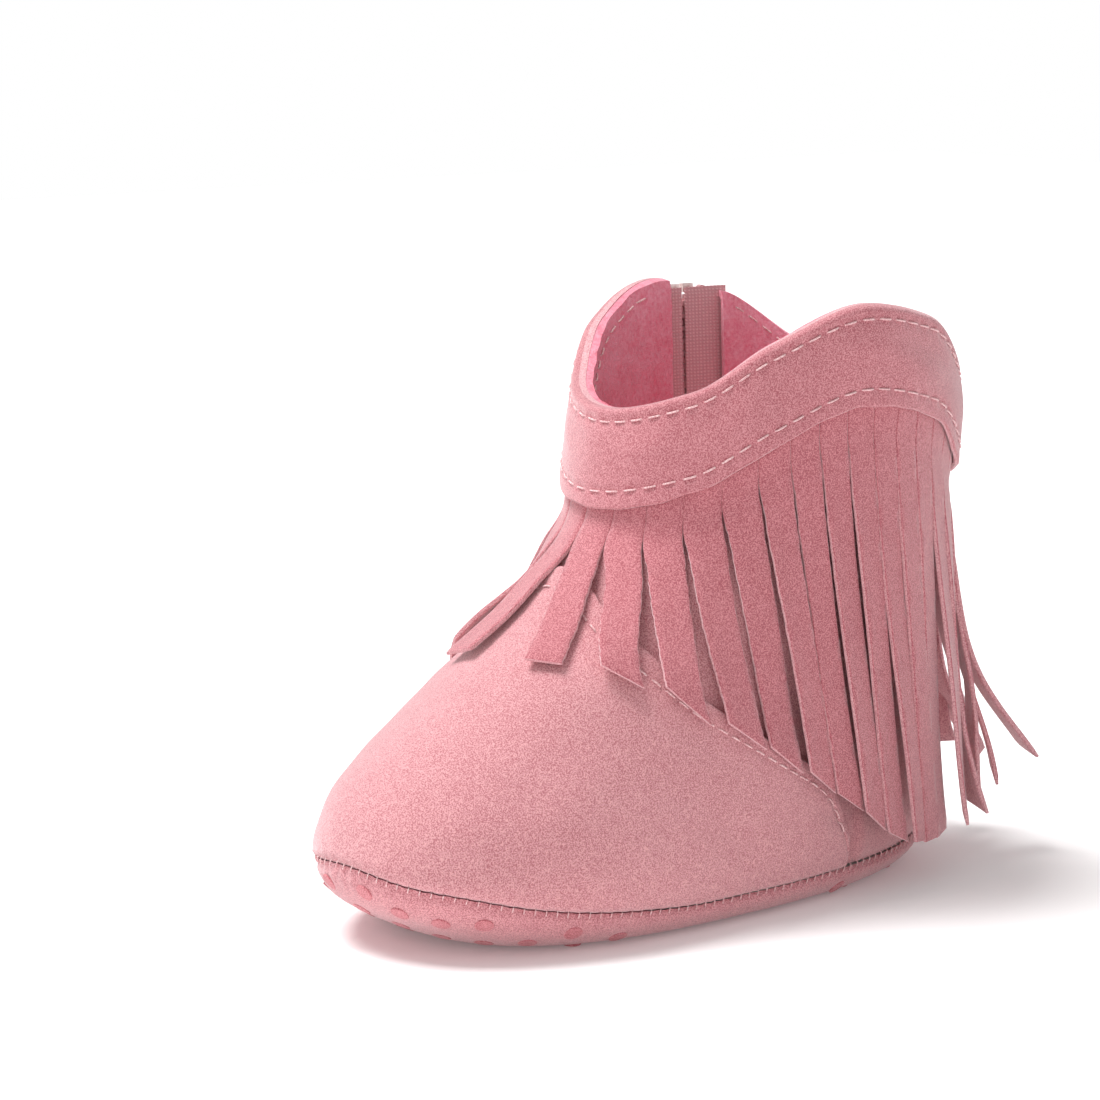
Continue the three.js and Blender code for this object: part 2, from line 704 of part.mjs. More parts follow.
for (const [name, side] of [["front", 1], ["back", -1]]) {
  const rows = 10;
  add(
    `zipper_tape_${name}`,
    sheet(3, rows, (i, j, face) => {
      const z = tapeBottom + ((zipTop + 1 - tapeBottom) * j) / rows;
      return zipPoint(side * (tapeInner + ((tapeHalf - tapeInner) * i) / 3), z, tapeLayer[face]);
    }),
    looks.tape(),
  );
  const first = zipBottom + 2.5 + (side > 0 ? 0 : toothPitch / 2);
  const teeth = Math.floor((zipTop - 2 - toothWidth - first) / toothPitch) + 1;
  const edge = [[zipBottom + 1.6, spine[0]]];
  for (let k = 0; k < teeth; k += 1) {
    const z = first + k * toothPitch;
    const above = z + toothWidth;
    edge.push([z - 0.03, spine[0]], [z, -toothReach], [above, -toothReach], [above + 0.03, spine[0]]);
  }
  edge.push([zipTop - 1.2, spine[0]]);
  add(
    `zipper_teeth_${name}`,
    sheet(1, edge.length - 1, (i, j, face) => {
      const [z, inner] = edge[j];
      return zipPoint(side * (i === 0 ? inner : spine[1]), z, coilLayer[face]);
    }),
    looks.coil(),
  );
  add(
    `zipper_top_stop_${name}`,
    sheet(1, 1, (i, j, face) => {
      const z = zipTop - 0.8 + 1.6 * j;
      return zipPoint(side * (i === 0 ? 0.5 : spine[1] + 0.2), z, [coilLayer[0], coilLayer[1] + 0.3][face]);
    }),
    metal(0xc9a9a3),
  );
}
add(
  "zipper_bottom_stop",
  sheet(1, 1, (i, j, face) => {
    const z = zipBottom - 0.4 + 1.7 * j;
    return zipPoint(-spine[1] + 2 * spine[1] * i, z, [coilLayer[0], coilLayer[1] + 0.3][face]);
  }),
  metal(0xc9a9a3),
);

// Slider: a plate over the teeth with a flange on each side and a lengthwise arch for the pull.
// Its frame has +Y up the zip, +Z out of the shoe and +X across.
const track = {
  low: zipPoint(0, zipBottom + 6, coilLayer[1]),
  high: zipPoint(0, zipTop - 2, coilLayer[1]),
};
const trackUp = track.high.clone().sub(track.low).normalize();
const trackFace = normalAt(zip, (zipTop + zipBottom) / 2);
const trackAcross = new THREE.Vector3().crossVectors(trackUp, trackFace).normalize();
const trackOut = new THREE.Vector3().crossVectors(trackAcross, trackUp).normalize();

const plateHalf = 3.4;
const plateLift = 0.5; // over the teeth
const plateThick = 1;
const flangeThick = 0.5;
const flangeDrop = 0.8;
const archHalf = 0.6;
const archSpan = 4.4; // between the outer faces of the arch's legs
const archLeg = 0.8;
const archRoom = 1.7; // clear height under the arch
const pullBar = 0.8;
const pullWindow = 4;
const pullHalf = 2.3;
const pullLength = 15;
const pullThick = 0.8;

function box(width, length, height, x, y, z) {
  return new THREE.BoxGeometry(width, length, height).translate(x, y, z + height / 2);
}

function roundedPlate(half, bottom, top, corner, thick) {
  const shape = new THREE.Shape();
  shape.moveTo(-half + corner, bottom);
  shape.lineTo(half - corner, bottom);
  shape.absarc(half - corner, bottom + corner, corner, -Math.PI / 2, 0, false);
  shape.lineTo(half, top - corner);
  shape.absarc(half - corner, top - corner, corner, 0, Math.PI / 2, false);
  shape.lineTo(-half + corner, top);
  shape.absarc(-half + corner, top - corner, corner, Math.PI / 2, Math.PI, false);
  shape.lineTo(-half, bottom + corner);
  shape.absarc(-half + corner, bottom + corner, corner, Math.PI, 1.5 * Math.PI, false);
  const extrude = () =>
    new THREE.ExtrudeGeometry(shape, { depth: thick, bevelEnabled: false, curveSegments: 4 });
  return { shape, extrude };
}

const sliderCarrier = new THREE.Group();
sliderCarrier.position.copy(track.high).addScaledVector(trackUp, -sliderLength / 2);
sliderCarrier.quaternion.setFromRotationMatrix(new THREE.Matrix4().makeBasis(trackAcross, trackUp, trackOut));
bootie.add(sliderCarrier);

const plateTop = plateLift + plateThick;
const plate = roundedPlate(plateHalf, -sliderLength / 2, sliderLength / 2, 1.4, plateThick).extrude();
const flangeHeight = flangeDrop + plateLift + plateThick / 2;
const flangePlace = plateHalf - flangeThick / 2;
const flange = (side) =>
  box(flangeThick, sliderLength - 3, flangeHeight, side * flangePlace, 0, -flangeDrop);
const legPlace = (archSpan - archLeg) / 2;
const arch = [
  box(2 * archHalf, archLeg, archRoom + 0.6, 0, legPlace, plateTop - 0.2),
  box(2 * archHalf, archLeg, archRoom + 0.6, 0, -legPlace, plateTop - 0.2),
  box(2 * archHalf, archSpan, archLeg, 0, 0, plateTop + archRoom),
];
add(
  "zipper_slider",
  joined([plate.translate(0, 0, plateLift), flange(1), flange(-1), ...arch]),
  metal(0xd8a7a6),
  sliderCarrier,
);

// Pull: a flat tab with a window, whose cross bar lies under the arch.
const pullPivot = new THREE.Group();
pullPivot.position.set(0, 0, plateTop + archRoom / 2);
sliderCarrier.add(pullPivot);
const tab = roundedPlate(pullHalf, -pullLength, pullBar / 2, 0.35, pullThick);
const window = new THREE.Path();
window.moveTo(-archHalf - 0.4, -pullBar / 2);
window.lineTo(archHalf + 0.4, -pullBar / 2);
window.lineTo(archHalf + 0.4, -pullBar / 2 - pullWindow);
window.lineTo(-archHalf - 0.4, -pullBar / 2 - pullWindow);
window.closePath();
tab.shape.holes.push(window);
add("zipper_pull", tab.extrude().translate(0, 0, -pullThick / 2), metal(0xd8a7a6), pullPivot);

// ---------------------------------------------------------------- seams

// Threads lie a gap above the surface that they are sewn into, as low square beads.
const bead = (base) => [base + gap, base + gap + thread];

function ringThread(half, z, base) {
  return openRing(half, 48, even(1, (phi) => z(phi) - thread / 2, (phi) => z(phi) + thread / 2), bead(base));
}

add(
  "collar_top_stitch",
  ringThread(collarOpening + 2, (phi) => rim(phi) - 2.5, collarLayer[1] - collarPinch / 2),
  looks.thread(),
);
add(
  "collar_bottom_stitch",
  ringThread(collarOpening + 2, (phi) => collarEdge(phi) + 3, collarLayer[1]),
  looks.thread(),
);
const vampStitch = (phi) => vampEdge(phi) - 3.2;
add(
  "vamp_stitch",
  layer(
    -radians(84),
    radians(84),
    36,
    1,
    (phi) => vampStitch(phi) - thread / 2,
    (phi) => vampStitch(phi) + thread / 2,
    bead(vampLayer[1]),
  ),
  looks.thread(),
);

// The whip stitch lies in the groove between the sole and the upper, all the way round.
const seamThreadFoot = gap + 0.1;
const seamThreadHead = seamGroove - gap - 0.1;
const seamRing = (rise, distance) => around.map((phi) => at(phi, soleSeam(phi) + rise, distance));
function closedRing(sections) {
  const count = around.length;
  const vertices = sections.flat();
  const index = [];
  sections.forEach((_, k) => {
    const next = (k + 1) % sections.length;
    for (let i = 0; i < count; i += 1) {
      const j = (i + 1) % count;
      index.push([k * count + i, k * count + j, next * count + j]);
      index.push([k * count + i, next * count + j, next * count + i]);
    }
  });
  return solid(vertices, index);
}
add(
  "sole_seam_thread",
  closedRing([
    seamRing(seamThreadFoot, vampLayer[0] + 0.2),
    seamRing(seamThreadFoot, vampLayer[1] - 0.2),
    seamRing(seamThreadHead, vampLayer[1] - 0.2),
    seamRing(seamThreadHead, vampLayer[0] + 0.2),
  ]),
  looks.thread(),
);

for (const [name, side] of [["front", 1], ["back", -1]]) {
  const rows = 10;
  const [low, high] = [zipBottom + 2, slitRoot(zip) - 2];
  add(
    `zipper_stitch_${name}`,
    sheet(1, rows, (i, j, face) => {
      const z = low + ((high - low) * j) / rows;
      return zipPoint(side * (zipOpening + 2 + thread * (i - 0.5)), z, bead(quarterLayer[1])[face]);
    }),
    looks.thread(),
  );
}

export default bootie;
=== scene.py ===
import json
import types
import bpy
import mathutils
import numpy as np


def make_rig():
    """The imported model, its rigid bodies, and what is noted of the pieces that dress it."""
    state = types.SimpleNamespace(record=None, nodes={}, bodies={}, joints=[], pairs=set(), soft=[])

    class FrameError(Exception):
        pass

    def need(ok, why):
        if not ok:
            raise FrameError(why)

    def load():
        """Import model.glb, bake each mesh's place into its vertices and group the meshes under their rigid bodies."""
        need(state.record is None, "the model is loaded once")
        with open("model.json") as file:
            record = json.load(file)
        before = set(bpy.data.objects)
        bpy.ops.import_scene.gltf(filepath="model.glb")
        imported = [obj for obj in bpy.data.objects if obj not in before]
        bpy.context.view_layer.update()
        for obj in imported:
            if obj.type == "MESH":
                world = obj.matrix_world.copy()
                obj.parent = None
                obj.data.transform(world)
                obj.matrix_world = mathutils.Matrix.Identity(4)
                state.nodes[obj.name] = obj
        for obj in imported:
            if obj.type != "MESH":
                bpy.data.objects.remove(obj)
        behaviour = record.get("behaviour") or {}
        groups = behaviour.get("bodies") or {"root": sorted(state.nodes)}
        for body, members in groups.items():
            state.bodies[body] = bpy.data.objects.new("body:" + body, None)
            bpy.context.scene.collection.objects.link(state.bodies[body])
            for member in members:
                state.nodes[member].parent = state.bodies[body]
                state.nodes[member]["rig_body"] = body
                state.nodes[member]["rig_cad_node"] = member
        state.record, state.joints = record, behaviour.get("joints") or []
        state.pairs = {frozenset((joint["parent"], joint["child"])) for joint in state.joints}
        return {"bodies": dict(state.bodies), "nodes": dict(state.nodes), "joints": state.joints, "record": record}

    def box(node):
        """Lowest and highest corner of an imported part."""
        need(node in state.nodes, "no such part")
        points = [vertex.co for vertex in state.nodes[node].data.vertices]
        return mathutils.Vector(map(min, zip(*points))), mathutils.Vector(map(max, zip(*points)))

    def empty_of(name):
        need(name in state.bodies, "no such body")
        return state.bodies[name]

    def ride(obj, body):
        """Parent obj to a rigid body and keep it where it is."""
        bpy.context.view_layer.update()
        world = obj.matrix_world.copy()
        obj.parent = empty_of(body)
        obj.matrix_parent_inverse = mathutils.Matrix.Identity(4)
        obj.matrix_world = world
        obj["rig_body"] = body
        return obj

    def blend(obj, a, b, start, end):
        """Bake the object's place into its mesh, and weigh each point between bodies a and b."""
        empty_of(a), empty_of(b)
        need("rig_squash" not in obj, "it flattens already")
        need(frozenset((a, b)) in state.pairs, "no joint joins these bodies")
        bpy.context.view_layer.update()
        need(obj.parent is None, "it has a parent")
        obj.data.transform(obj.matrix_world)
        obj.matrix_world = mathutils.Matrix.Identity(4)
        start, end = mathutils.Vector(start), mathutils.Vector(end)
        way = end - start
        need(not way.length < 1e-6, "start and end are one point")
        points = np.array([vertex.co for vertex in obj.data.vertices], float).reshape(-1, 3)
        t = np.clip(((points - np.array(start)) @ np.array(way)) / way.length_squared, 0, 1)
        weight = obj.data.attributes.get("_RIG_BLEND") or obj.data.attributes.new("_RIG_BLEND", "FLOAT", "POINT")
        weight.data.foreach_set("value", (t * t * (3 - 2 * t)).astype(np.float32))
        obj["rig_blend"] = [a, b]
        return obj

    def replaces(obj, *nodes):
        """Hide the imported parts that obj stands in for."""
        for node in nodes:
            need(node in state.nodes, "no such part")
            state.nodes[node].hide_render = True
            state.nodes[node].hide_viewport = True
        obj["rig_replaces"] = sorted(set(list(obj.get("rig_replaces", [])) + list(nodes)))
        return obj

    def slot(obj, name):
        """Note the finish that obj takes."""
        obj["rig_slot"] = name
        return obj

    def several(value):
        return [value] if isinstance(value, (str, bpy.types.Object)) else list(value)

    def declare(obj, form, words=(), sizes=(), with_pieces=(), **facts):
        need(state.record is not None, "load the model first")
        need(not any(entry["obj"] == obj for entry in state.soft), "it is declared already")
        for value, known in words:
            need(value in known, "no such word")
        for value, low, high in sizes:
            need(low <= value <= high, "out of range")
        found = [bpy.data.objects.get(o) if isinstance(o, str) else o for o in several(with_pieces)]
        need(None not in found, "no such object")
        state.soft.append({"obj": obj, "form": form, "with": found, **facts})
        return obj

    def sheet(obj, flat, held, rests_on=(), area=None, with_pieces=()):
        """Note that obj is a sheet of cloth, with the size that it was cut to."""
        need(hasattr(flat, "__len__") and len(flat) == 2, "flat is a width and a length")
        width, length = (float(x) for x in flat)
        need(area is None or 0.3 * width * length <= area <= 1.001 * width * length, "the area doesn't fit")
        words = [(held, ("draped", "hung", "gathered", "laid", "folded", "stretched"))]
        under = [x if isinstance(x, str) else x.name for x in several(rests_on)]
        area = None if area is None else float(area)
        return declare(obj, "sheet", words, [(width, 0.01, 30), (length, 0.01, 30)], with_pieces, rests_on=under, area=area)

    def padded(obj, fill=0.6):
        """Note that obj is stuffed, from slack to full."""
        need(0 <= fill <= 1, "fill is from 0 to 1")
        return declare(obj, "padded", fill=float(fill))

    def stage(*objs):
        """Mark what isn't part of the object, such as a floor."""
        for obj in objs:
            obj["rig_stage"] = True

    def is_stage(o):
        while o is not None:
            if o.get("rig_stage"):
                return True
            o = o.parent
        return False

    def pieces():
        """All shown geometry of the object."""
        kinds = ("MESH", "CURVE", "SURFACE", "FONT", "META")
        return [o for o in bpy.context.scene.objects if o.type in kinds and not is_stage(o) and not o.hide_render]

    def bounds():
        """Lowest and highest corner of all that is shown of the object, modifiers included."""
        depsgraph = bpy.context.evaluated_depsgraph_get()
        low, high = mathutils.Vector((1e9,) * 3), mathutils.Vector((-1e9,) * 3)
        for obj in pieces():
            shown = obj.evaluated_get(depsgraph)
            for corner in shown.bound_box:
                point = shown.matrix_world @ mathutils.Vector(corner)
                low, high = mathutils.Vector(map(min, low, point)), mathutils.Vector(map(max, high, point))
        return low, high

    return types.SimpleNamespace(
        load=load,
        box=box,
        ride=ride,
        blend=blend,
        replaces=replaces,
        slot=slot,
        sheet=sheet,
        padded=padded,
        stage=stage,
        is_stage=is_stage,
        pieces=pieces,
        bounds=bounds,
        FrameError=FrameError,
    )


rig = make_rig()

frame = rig.load()

import json
import math

import bpy
import numpy as np
from mathutils import Vector

cad_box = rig.bounds()


# Setting: a pale table top under a white dome, with one large soft light high over the toe's and inner
# side and a weak one in front. The camera looks at the outer side from in front, a little above the table.
VIEW_AZIMUTH = math.radians(50.4)
VIEW_HEIGHT = math.radians(10.8)
VIEW_DISTANCE = 0.65
LOOKED_AT = Vector((0, 0.005, 0.048))
LENS = 120.9
LENS_SHIFT = (-0.0974, 0.0653)
TABLE_HALF = 1.5
TABLE_COLOUR = (0.93, 0.92, 0.92, 1)
DOME_LIGHT = 0.5
DOME_SEEN = 1.0
TABLE_GLOW = 0.1

toward_camera = Vector((
    math.sin(VIEW_AZIMUTH) * math.cos(VIEW_HEIGHT),
    -math.cos(VIEW_AZIMUTH) * math.cos(VIEW_HEIGHT),
    math.sin(VIEW_HEIGHT),
))
camera = bpy.data.objects.new("camera", bpy.data.cameras.new("camera"))
camera.location = LOOKED_AT + VIEW_DISTANCE * toward_camera
camera.rotation_euler = toward_camera.to_track_quat("Z", "Y").to_euler()
camera.data.lens = LENS
camera.data.sensor_width = 36
camera.data.shift_x, camera.data.shift_y = LENS_SHIFT
camera.data.clip_start = 0.01
bpy.context.collection.objects.link(camera)
bpy.context.scene.camera = camera
bpy.context.scene.view_settings.view_transform = "Standard"

world = bpy.data.worlds.new("white_dome")
bpy.context.scene.world = world
world.use_nodes = True
dome = world.node_tree
dome.nodes.clear()
dome_out = dome.nodes.new("ShaderNodeOutputWorld")
dome_mix = dome.nodes.new("ShaderNodeMixShader")
dome_ray = dome.nodes.new("ShaderNodeLightPath")
for place, strength in enumerate((DOME_LIGHT, DOME_SEEN), 1):
    background = dome.nodes.new("ShaderNodeBackground")
    background.inputs["Color"].default_value = (1, 1, 1, 1)
    background.inputs["Strength"].default_value = strength
    dome.links.new(background.outputs[0], dome_mix.inputs[place])
dome.links.new(dome_ray.outputs["Is Camera Ray"], dome_mix.inputs[0])
dome.links.new(dome_mix.outputs[0], dome_out.inputs[0])


def soft_light(name, place, size, power):
    lamp = bpy.data.objects.new(name, bpy.data.lights.new(name, "AREA"))
    lamp.location = place
    lamp.rotation_euler = (Vector(place) - LOOKED_AT).to_track_quat("Z", "Y").to_euler()
    lamp.data.size = size
    lamp.data.energy = power
    bpy.context.collection.objects.link(lamp)


soft_light("key_light", (-1.0, -0.65, 3.0), 1.5, 128)
soft_light("front_light", (0.35, -1.05, 0.5), 0.6, 0.9)

table_mesh = bpy.data.meshes.new("table_top")
table_corners = [(x * TABLE_HALF, y * TABLE_HALF, 0) for x, y in ((-1, -1), (1, -1), (1, 1), (-1, 1))]
table_mesh.from_pydata(table_corners, [], [(0, 1, 2, 3)])
table_top = bpy.data.objects.new("table_top", table_mesh)
bpy.context.collection.objects.link(table_top)
table_paint = bpy.data.materials.new("table_paint")
table_paint.use_nodes = True
table_shader = table_paint.node_tree.nodes["Principled BSDF"]
table_shader.inputs["Base Color"].default_value = TABLE_COLOUR
table_shader.inputs["Roughness"].default_value = 0.9
table_shader.inputs["Specular IOR Level"].default_value = 0.1
table_shader.inputs["Emission Color"].default_value = (1, 1, 1, 1)
table_shader.inputs["Emission Strength"].default_value = TABLE_GLOW
table_mesh.materials.append(table_paint)
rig.stage(table_top)


# The form that every layer is made up round, in millimetres: the toe is at -Y, the outer side at +X.
# Angles go round the shaft's upright axis from the toe towards the outer side.
TOE_REACH = 62.5
HEEL_REACH = 62
SHAFT_FRONT_REACH = 5.5
SHAFT_BACK_REACH = 67
BALL_WIDTH = 59
ANKLE_WIDTH = 54
SHAFT_WIDTH = 58
TOE_HEIGHT = 15
THROAT_HEIGHT = 68
SIDE_HEIGHT = 105
FRONT_HEIGHT = 87
BACK_HEIGHT = 86
AXIS_Y = 27
ZIP = math.radians(-103)
ROUND = 2 * math.pi


def through(knots):
    """A smooth curve through (station, value) knots that never overshoots them."""
    x, y = np.array(knots, float).T
    rise = np.diff(y) / np.diff(x)
    slope = np.concatenate((rise[:1], np.zeros(len(x) - 2), rise[-1:]))
    a, b = rise[:-1], rise[1:]
    slope[1:-1] = np.where(a * b > 0, 2 * a * b / np.where(a * b > 0, a + b, 1), 0)

    def curve(station):
        s = np.clip(station, x[0], x[-1])
        i = np.clip(np.searchsorted(x, s) - 1, 0, len(x) - 2)
        h = x[i + 1] - x[i]
        t = (s - x[i]) / h
        near = (1 + 2 * t) * (1 - t) ** 2 * y[i] + t * (1 - t) ** 2 * h * slope[i]
        far = t * t * (3 - 2 * t) * y[i + 1] + t * t * (t - 1) * h * slope[i + 1]
        return near + far

    return curve


def turned(phi):
    return np.arctan2(np.sin(phi), np.cos(phi))


def round_shoe(knots):
    """A height or distance by the angle from the toe, in degrees, alike on both sides."""
    before = (2 * knots[0][0] - knots[1][0], knots[1][1])
    after = (2 * knots[-1][0] - knots[-2][0], knots[-2][1])
    curve = through([before, *knots, after])
    return lambda phi: curve(np.abs(np.degrees(turned(phi))))


def smooth(x):
    x = np.clip(x, 0, 1)
    return x * x * (3 - 2 * x)


def climb(share):
    return TOE_HEIGHT + share * (THROAT_HEIGHT - TOE_HEIGHT)


def set_back(share):
    return -TOE_REACH + share * (TOE_REACH - SHAFT_FRONT_REACH - 3)


front_line = through([
    (0, -TOE_REACH + 24), (0.13 * TOE_HEIGHT, -TOE_REACH + 16), (0.33 * TOE_HEIGHT, -TOE_REACH + 9.5),
    (0.67 * TOE_HEIGHT, -TOE_REACH + 2.5), (TOE_HEIGHT, -TOE_REACH), (climb(0.11), set_back(0.03)),
    (climb(0.245), set_back(0.14)), (climb(0.4), set_back(0.325)), (climb(0.55), set_back(0.54)),
    (climb(0.7), set_back(0.76)), (climb(0.85), set_back(0.91)), (THROAT_HEIGHT, set_back(1)),
    (SIDE_HEIGHT, -SHAFT_FRONT_REACH + 1.5),
])
back_line = through([
    (0, HEEL_REACH - 8), (2, HEEL_REACH - 4.5), (5, HEEL_REACH - 1.5), (12, HEEL_REACH),
    (28, HEEL_REACH - 0.3), (60, SHAFT_BACK_REACH - 3), (80, SHAFT_BACK_REACH - 0.6),
    (SIDE_HEIGHT, SHAFT_BACK_REACH),
])
half_width = through([
    (0, BALL_WIDTH / 2 - 8.5), (2, BALL_WIDTH / 2 - 3.8), (6, BALL_WIDTH / 2 - 1), (12, BALL_WIDTH / 2),
    (18, BALL_WIDTH / 2 - 0.3), (26, (BALL_WIDTH + ANKLE_WIDTH) / 4), (38, ANKLE_WIDTH / 2),
    (SIDE_HEIGHT, SHAFT_WIDTH / 2),
])
taper = through([(0, 0.13), (9, 0.13), (20, 0.1), (32, 0.03), (45, -0.02), (60, 0)])
squareness = through([(0, 0.82), (9, 0.84), (20, 0.88), (35, 0.95), (60, 0.97)])

# Reach of the form by angle and height, read from a fine table.
TABLE_STEP = math.radians(0.5)
TABLE_RISE = 0.5
TABLE_LOW = -3
table_angles = np.arange(0, 361) * TABLE_STEP
table_heights = TABLE_LOW + np.arange(0, 235) * TABLE_RISE
outline_turn = np.linspace(0, math.pi, 1600)


def reaches_at(z):
    power = squareness(z)
    c = np.sign(np.cos(outline_turn)) * np.abs(np.cos(outline_turn)) ** power
    x = half_width(z) * np.sin(outline_turn) ** power * (1 + taper(z) * np.cos(outline_turn))
    front, rear = front_line(z), back_line(z)
    y = (front + rear) / 2 - (rear - front) / 2 * c - AXIS_Y
    return np.interp(table_angles, np.arctan2(x, -y), np.hypot(x, y))


reach_table = np.array([reaches_at(z) for z in table_heights])


def reach(phi, z):
    a = np.abs(turned(phi)) / TABLE_STEP
    b = (np.asarray(z, float) - TABLE_LOW) / TABLE_RISE
    i = np.clip(a.astype(int), 0, len(table_angles) - 2)
    j = np.clip(b.astype(int), 0, len(table_heights) - 2)
    a, b = a - i, b - j
    low = reach_table[j, i] * (1 - a) + reach_table[j, i + 1] * a
    high = reach_table[j + 1, i] * (1 - a) + reach_table[j + 1, i + 1] * a
    return low * (1 - b) + high * b


def on_form(phi, z):
    r = reach(phi, z)
    return np.stack([r * np.sin(phi), AXIS_Y - r * np.cos(phi), z + 0 * r], -1)


def lengths_along(line):
    """Length from the first point of a line to each of its points."""
    return np.concatenate(([0], np.cumsum(np.linalg.norm(np.diff(line, axis=0), axis=1))))


def facing(phi, z):
    along = on_form(phi + 2 * TABLE_STEP, z) - on_form(phi - 2 * TABLE_STEP, z)
    up = on_form(phi, z + 2 * TABLE_RISE) - on_form(phi, z - 2 * TABLE_RISE)
    normal = np.cross(along, up)
    return normal / np.linalg.norm(normal, axis=-1, keepdims=True)


def dents(points, wavelength, seed):
    """A smooth unevenness from about -1 to 1, the same at each run."""
    draw = np.random.default_rng(seed)
    value = 0
    for _ in range(7):
        way = draw.normal(size=3)
        way *= ROUND / wavelength / draw.uniform(0.7, 1.5) / np.linalg.norm(way)
        value = value + np.sin(points @ way + draw.uniform(0, ROUND))
    return value / 2.6


def hand(phi, z):
    """How far the hand-made shoe is off its form here: soft dents, none by the zip or under the sole."""
    off_zip = smooth((np.abs(turned(phi - ZIP)) - 0.35) / 0.4)
    quiet = np.maximum(off_zip, smooth((34 - z) / 8)) * smooth((z - 3) / 7)
    points = on_form(phi, z)
    return quiet * (0.34 * dents(points, 34, 5) + 0.1 * dents(points, 11, 6))


def at(phi, z, distance):
    phi, z = np.broadcast_arrays(np.asarray(phi, float), np.asarray(z, float))
    off = np.asarray(distance, float) + hand(phi, z)
    return on_form(phi, z) + facing(phi, z) * off[..., None]


stations = np.linspace(-ROUND, ROUND, 1441)
station_points = on_form(stations, TOE_HEIGHT + 0 * stations)
station_steps = np.linalg.norm(np.diff(station_points, axis=0), axis=1) / BALL_WIDTH + np.diff(stations)
station_lengths = np.concatenate(([0], np.cumsum(station_steps)))


def sweep(first, last, columns):
    """Angles from first to last, spaced half by the turn and half by the length round the foot."""
    a, b = np.interp([first, last], stations, station_lengths)
    return np.interp(np.linspace(a, b, columns + 1), station_lengths, stations)


# Suede and thread finishes. The upper is a matte microfibre suede: short soft nap with a fine mottled
# grain, paler where it is brushed or cut. Each finish is a node group placed in the materials.
NAP_GRAIN = 4500
NAP_CLOUD = 420
NAP_PATCH = 48
GRAIN_DEPTH = 0.95
CLOUD_DEPTH = 0.07
PATCH_DEPTH = 0.06
COLOUR, NUMBER = "NodeSocketColor", "NodeSocketFloat"


def finish_group(name, **inputs):
    """A node group for one finish, with its inputs and its outputs: colour, roughness and relief."""
    tree = bpy.data.node_groups.new(name, "ShaderNodeTree")
    for socket, value in inputs.items():
        kind = COLOUR if isinstance(value, tuple) else NUMBER
        made = tree.interface.new_socket(name=socket, in_out="INPUT", socket_type=kind)
        made.default_value = value
    for socket, kind in (("Colour", COLOUR), ("Roughness", NUMBER), ("Height", NUMBER)):
        tree.interface.new_socket(name=socket, in_out="OUTPUT", socket_type=kind)
    return tree, tree.nodes.new("NodeGroupInput").outputs, tree.nodes.new("NodeGroupOutput").inputs


def noise(tree, scale, detail=2.0, roughness=0.5):
    made = tree.nodes.new("ShaderNodeTexNoise")
    made.inputs["Scale"].default_value = scale
    made.inputs["Detail"].default_value = detail
    made.inputs["Roughness"].default_value = roughness
    tree.links.new(tree.nodes.new("ShaderNodeTexCoord").outputs["Object"], made.inputs["Vector"])
    return made.outputs["Fac"]


def spread(tree, value, low, high, to_low=0.0, to_high=1.0):
    made = tree.nodes.new("ShaderNodeMapRange")
    for socket, number in zip(("From Min", "From Max", "To Min", "To Max"), (low, high, to_low, to_high)):
        made.inputs[socket].default_value = number
    tree.links.new(value, made.inputs["Value"])
    return made.outputs["Result"]


def combine(tree, operation, first, second):
    made = tree.nodes.new("ShaderNodeMath")
    made.operation = operation
    for place, value in enumerate((first, second)):
        if isinstance(value, (int, float)):
            made.inputs[place].default_value = value
        else:
            tree.links.new(value, made.inputs[place])
    return made.outputs[0]


def blended(tree, share, first, second):
    made = tree.nodes.new("ShaderNodeMix")
    made.data_type = "RGBA"
    tree.links.new(share, made.inputs["Factor"])
    tree.links.new(first, made.inputs["A"])
    tree.links.new(second, made.inputs["B"])
    return made.outputs["Result"]


def put_out(tree, given, out, share, roughness, height, low="Deep", high="Pale"):
    """Two colours blended by the share, the roughness and the relief go to the group's outputs."""
    colour = blended(tree, share, given[low], given[high])
    for name, value in (("Colour", colour), ("Roughness", roughness), ("Height", height)):
        tree.links.new(value, out[name])


nap, nap_in, nap_out = finish_group(
    "suede_nap", Deep=(0.5, 0.2, 0.23, 1), Pale=(0.8, 0.5, 0.5, 1), Brushed=0.5
)
grain = noise(nap, NAP_GRAIN, 2, 0.6)
cloud = noise(nap, NAP_CLOUD)
patch = noise(nap, NAP_PATCH)
mottled = spread(nap, grain, 0.32, 0.68, -GRAIN_DEPTH, GRAIN_DEPTH)
mottled = combine(nap, "ADD", mottled, spread(nap, cloud, 0.3, 0.7, -CLOUD_DEPTH, CLOUD_DEPTH))
mottled = combine(nap, "ADD", mottled, spread(nap, patch, 0.3, 0.7, -PATCH_DEPTH, PATCH_DEPTH))
mottled = combine(nap, "ADD", mottled, nap_in["Brushed"])
nap_relief = combine(nap, "ADD", grain, cloud)
put_out(nap, nap_in, nap_out, mottled, spread(nap, grain, 0.3, 0.7, 0.82, 1), nap_relief)


